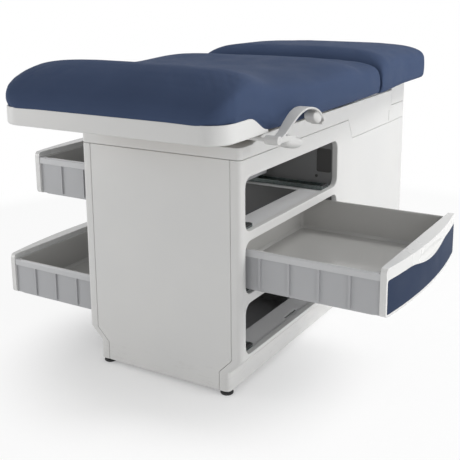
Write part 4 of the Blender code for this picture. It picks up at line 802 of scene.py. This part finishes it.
def fuller_corners(place):
    """How far the back cushion's head corners stand out past the solid, so that they hang over the pan."""
    side = place.x - (back_low.x + back_high.x) / 2
    half = (back_high.x - back_low.x) / 2
    depth = min(1, max(0, (back_low.y + corner_reach - place.y) / corner_reach))
    spread = min(1, max(0, (abs(side) - corner_across) / (half - corner_across)))
    share = (depth * spread) ** 1.5
    return Vector((math.copysign(corner_push[0], side), corner_push[1], 0)) * share


seat_low, seat_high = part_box("seat_cushion")
toe_start = 0.682
toe_lift = 0.020


def lifted_toe(place):
    """How far the seat cushion's underside turns up where it hangs out past the cap."""
    run = min(1, max(0, (place.y - toe_start) / (seat_high.y - toe_start)))
    depth = (seat_high.z - place.z) / (seat_high.z - seat_low.z)
    return Vector((0, 0, toe_lift * run ** 1.5 * depth))


def upholstered(node, voxel, shrink, cap, body, shape=None):
    """A cushion from its solid: remeshed, drawn in, blown up as cloth, held within a cap, subdivided."""
    pad = settled(node + "_cover", merged(node), (
        ("skin", "REMESH", {"mode": "VOXEL", "voxel_size": voxel, "use_smooth_shade": True}),
        ("even", "SMOOTH", {"factor": 0.5, "iterations": 2})))
    normals = [vertex.normal.copy() for vertex in pad.data.vertices]
    steep = 0.6
    underside = [i for i, normal in enumerate(normals) if normal.z < -steep]
    start = []
    for vertex, normal in zip(pad.data.vertices, normals):
        vertex.co -= normal * shrink * min(1, max(0, steep + normal.z))
        if shape:
            vertex.co += shape(vertex.co)
        start.append(vertex.co.copy())
    pins = pad.vertex_groups.new(name="board")
    pins.add(underside, 1.0, "REPLACE")
    cloth = pad.modifiers.new("cloth", "CLOTH")
    cloth.settings.quality = 4
    cloth.settings.mass = 0.3
    cloth.settings.tension_stiffness = 12
    cloth.settings.compression_stiffness = 12
    cloth.settings.shear_stiffness = 5
    cloth.settings.bending_stiffness = 0.4
    cloth.settings.use_pressure = True
    cloth.settings.uniform_pressure_force = 4
    cloth.settings.vertex_group_mass = pins.name
    cloth.settings.effector_weights.gravity = 0
    cloth_frames = 20
    for step in range(1, cloth_frames + 1):
        bpy.context.scene.frame_set(step)
    graph = bpy.context.evaluated_depsgraph_get()
    blown = pad.evaluated_get(graph).data
    moved = [vertex.co.copy() for vertex in blown.vertices]
    pad.modifiers.clear()
    pad.vertex_groups.clear()
    for vertex, first, last in zip(pad.data.vertices, start, moved):
        step = last - first
        if step.length > cap:
            step *= cap / step.length
        vertex.co = first + step
    bpy.context.scene.frame_set(1)
    cover = settled(node + "_upholstery", pad.data, (
        ("settle", "SMOOTH", {"factor": 0.5, "iterations": 2}),
        ("finer", "SUBSURF", {"levels": 1, "render_levels": 1})))
    bpy.data.objects.remove(pad)
    cover.data.shade_smooth()
    fitted(cover, vinyl, body, "blue_vinyl", node)
    return cover


upholstered("seat_cushion", 0.007, 0.003, 0.0032, "base", lifted_toe)
upholstered("back_cushion", 0.007, 0.003, 0.0032, "back", fuller_corners)
upholstered("leg_rest_pad", 0.005, 0.001, 0.0012, "leg_rest")
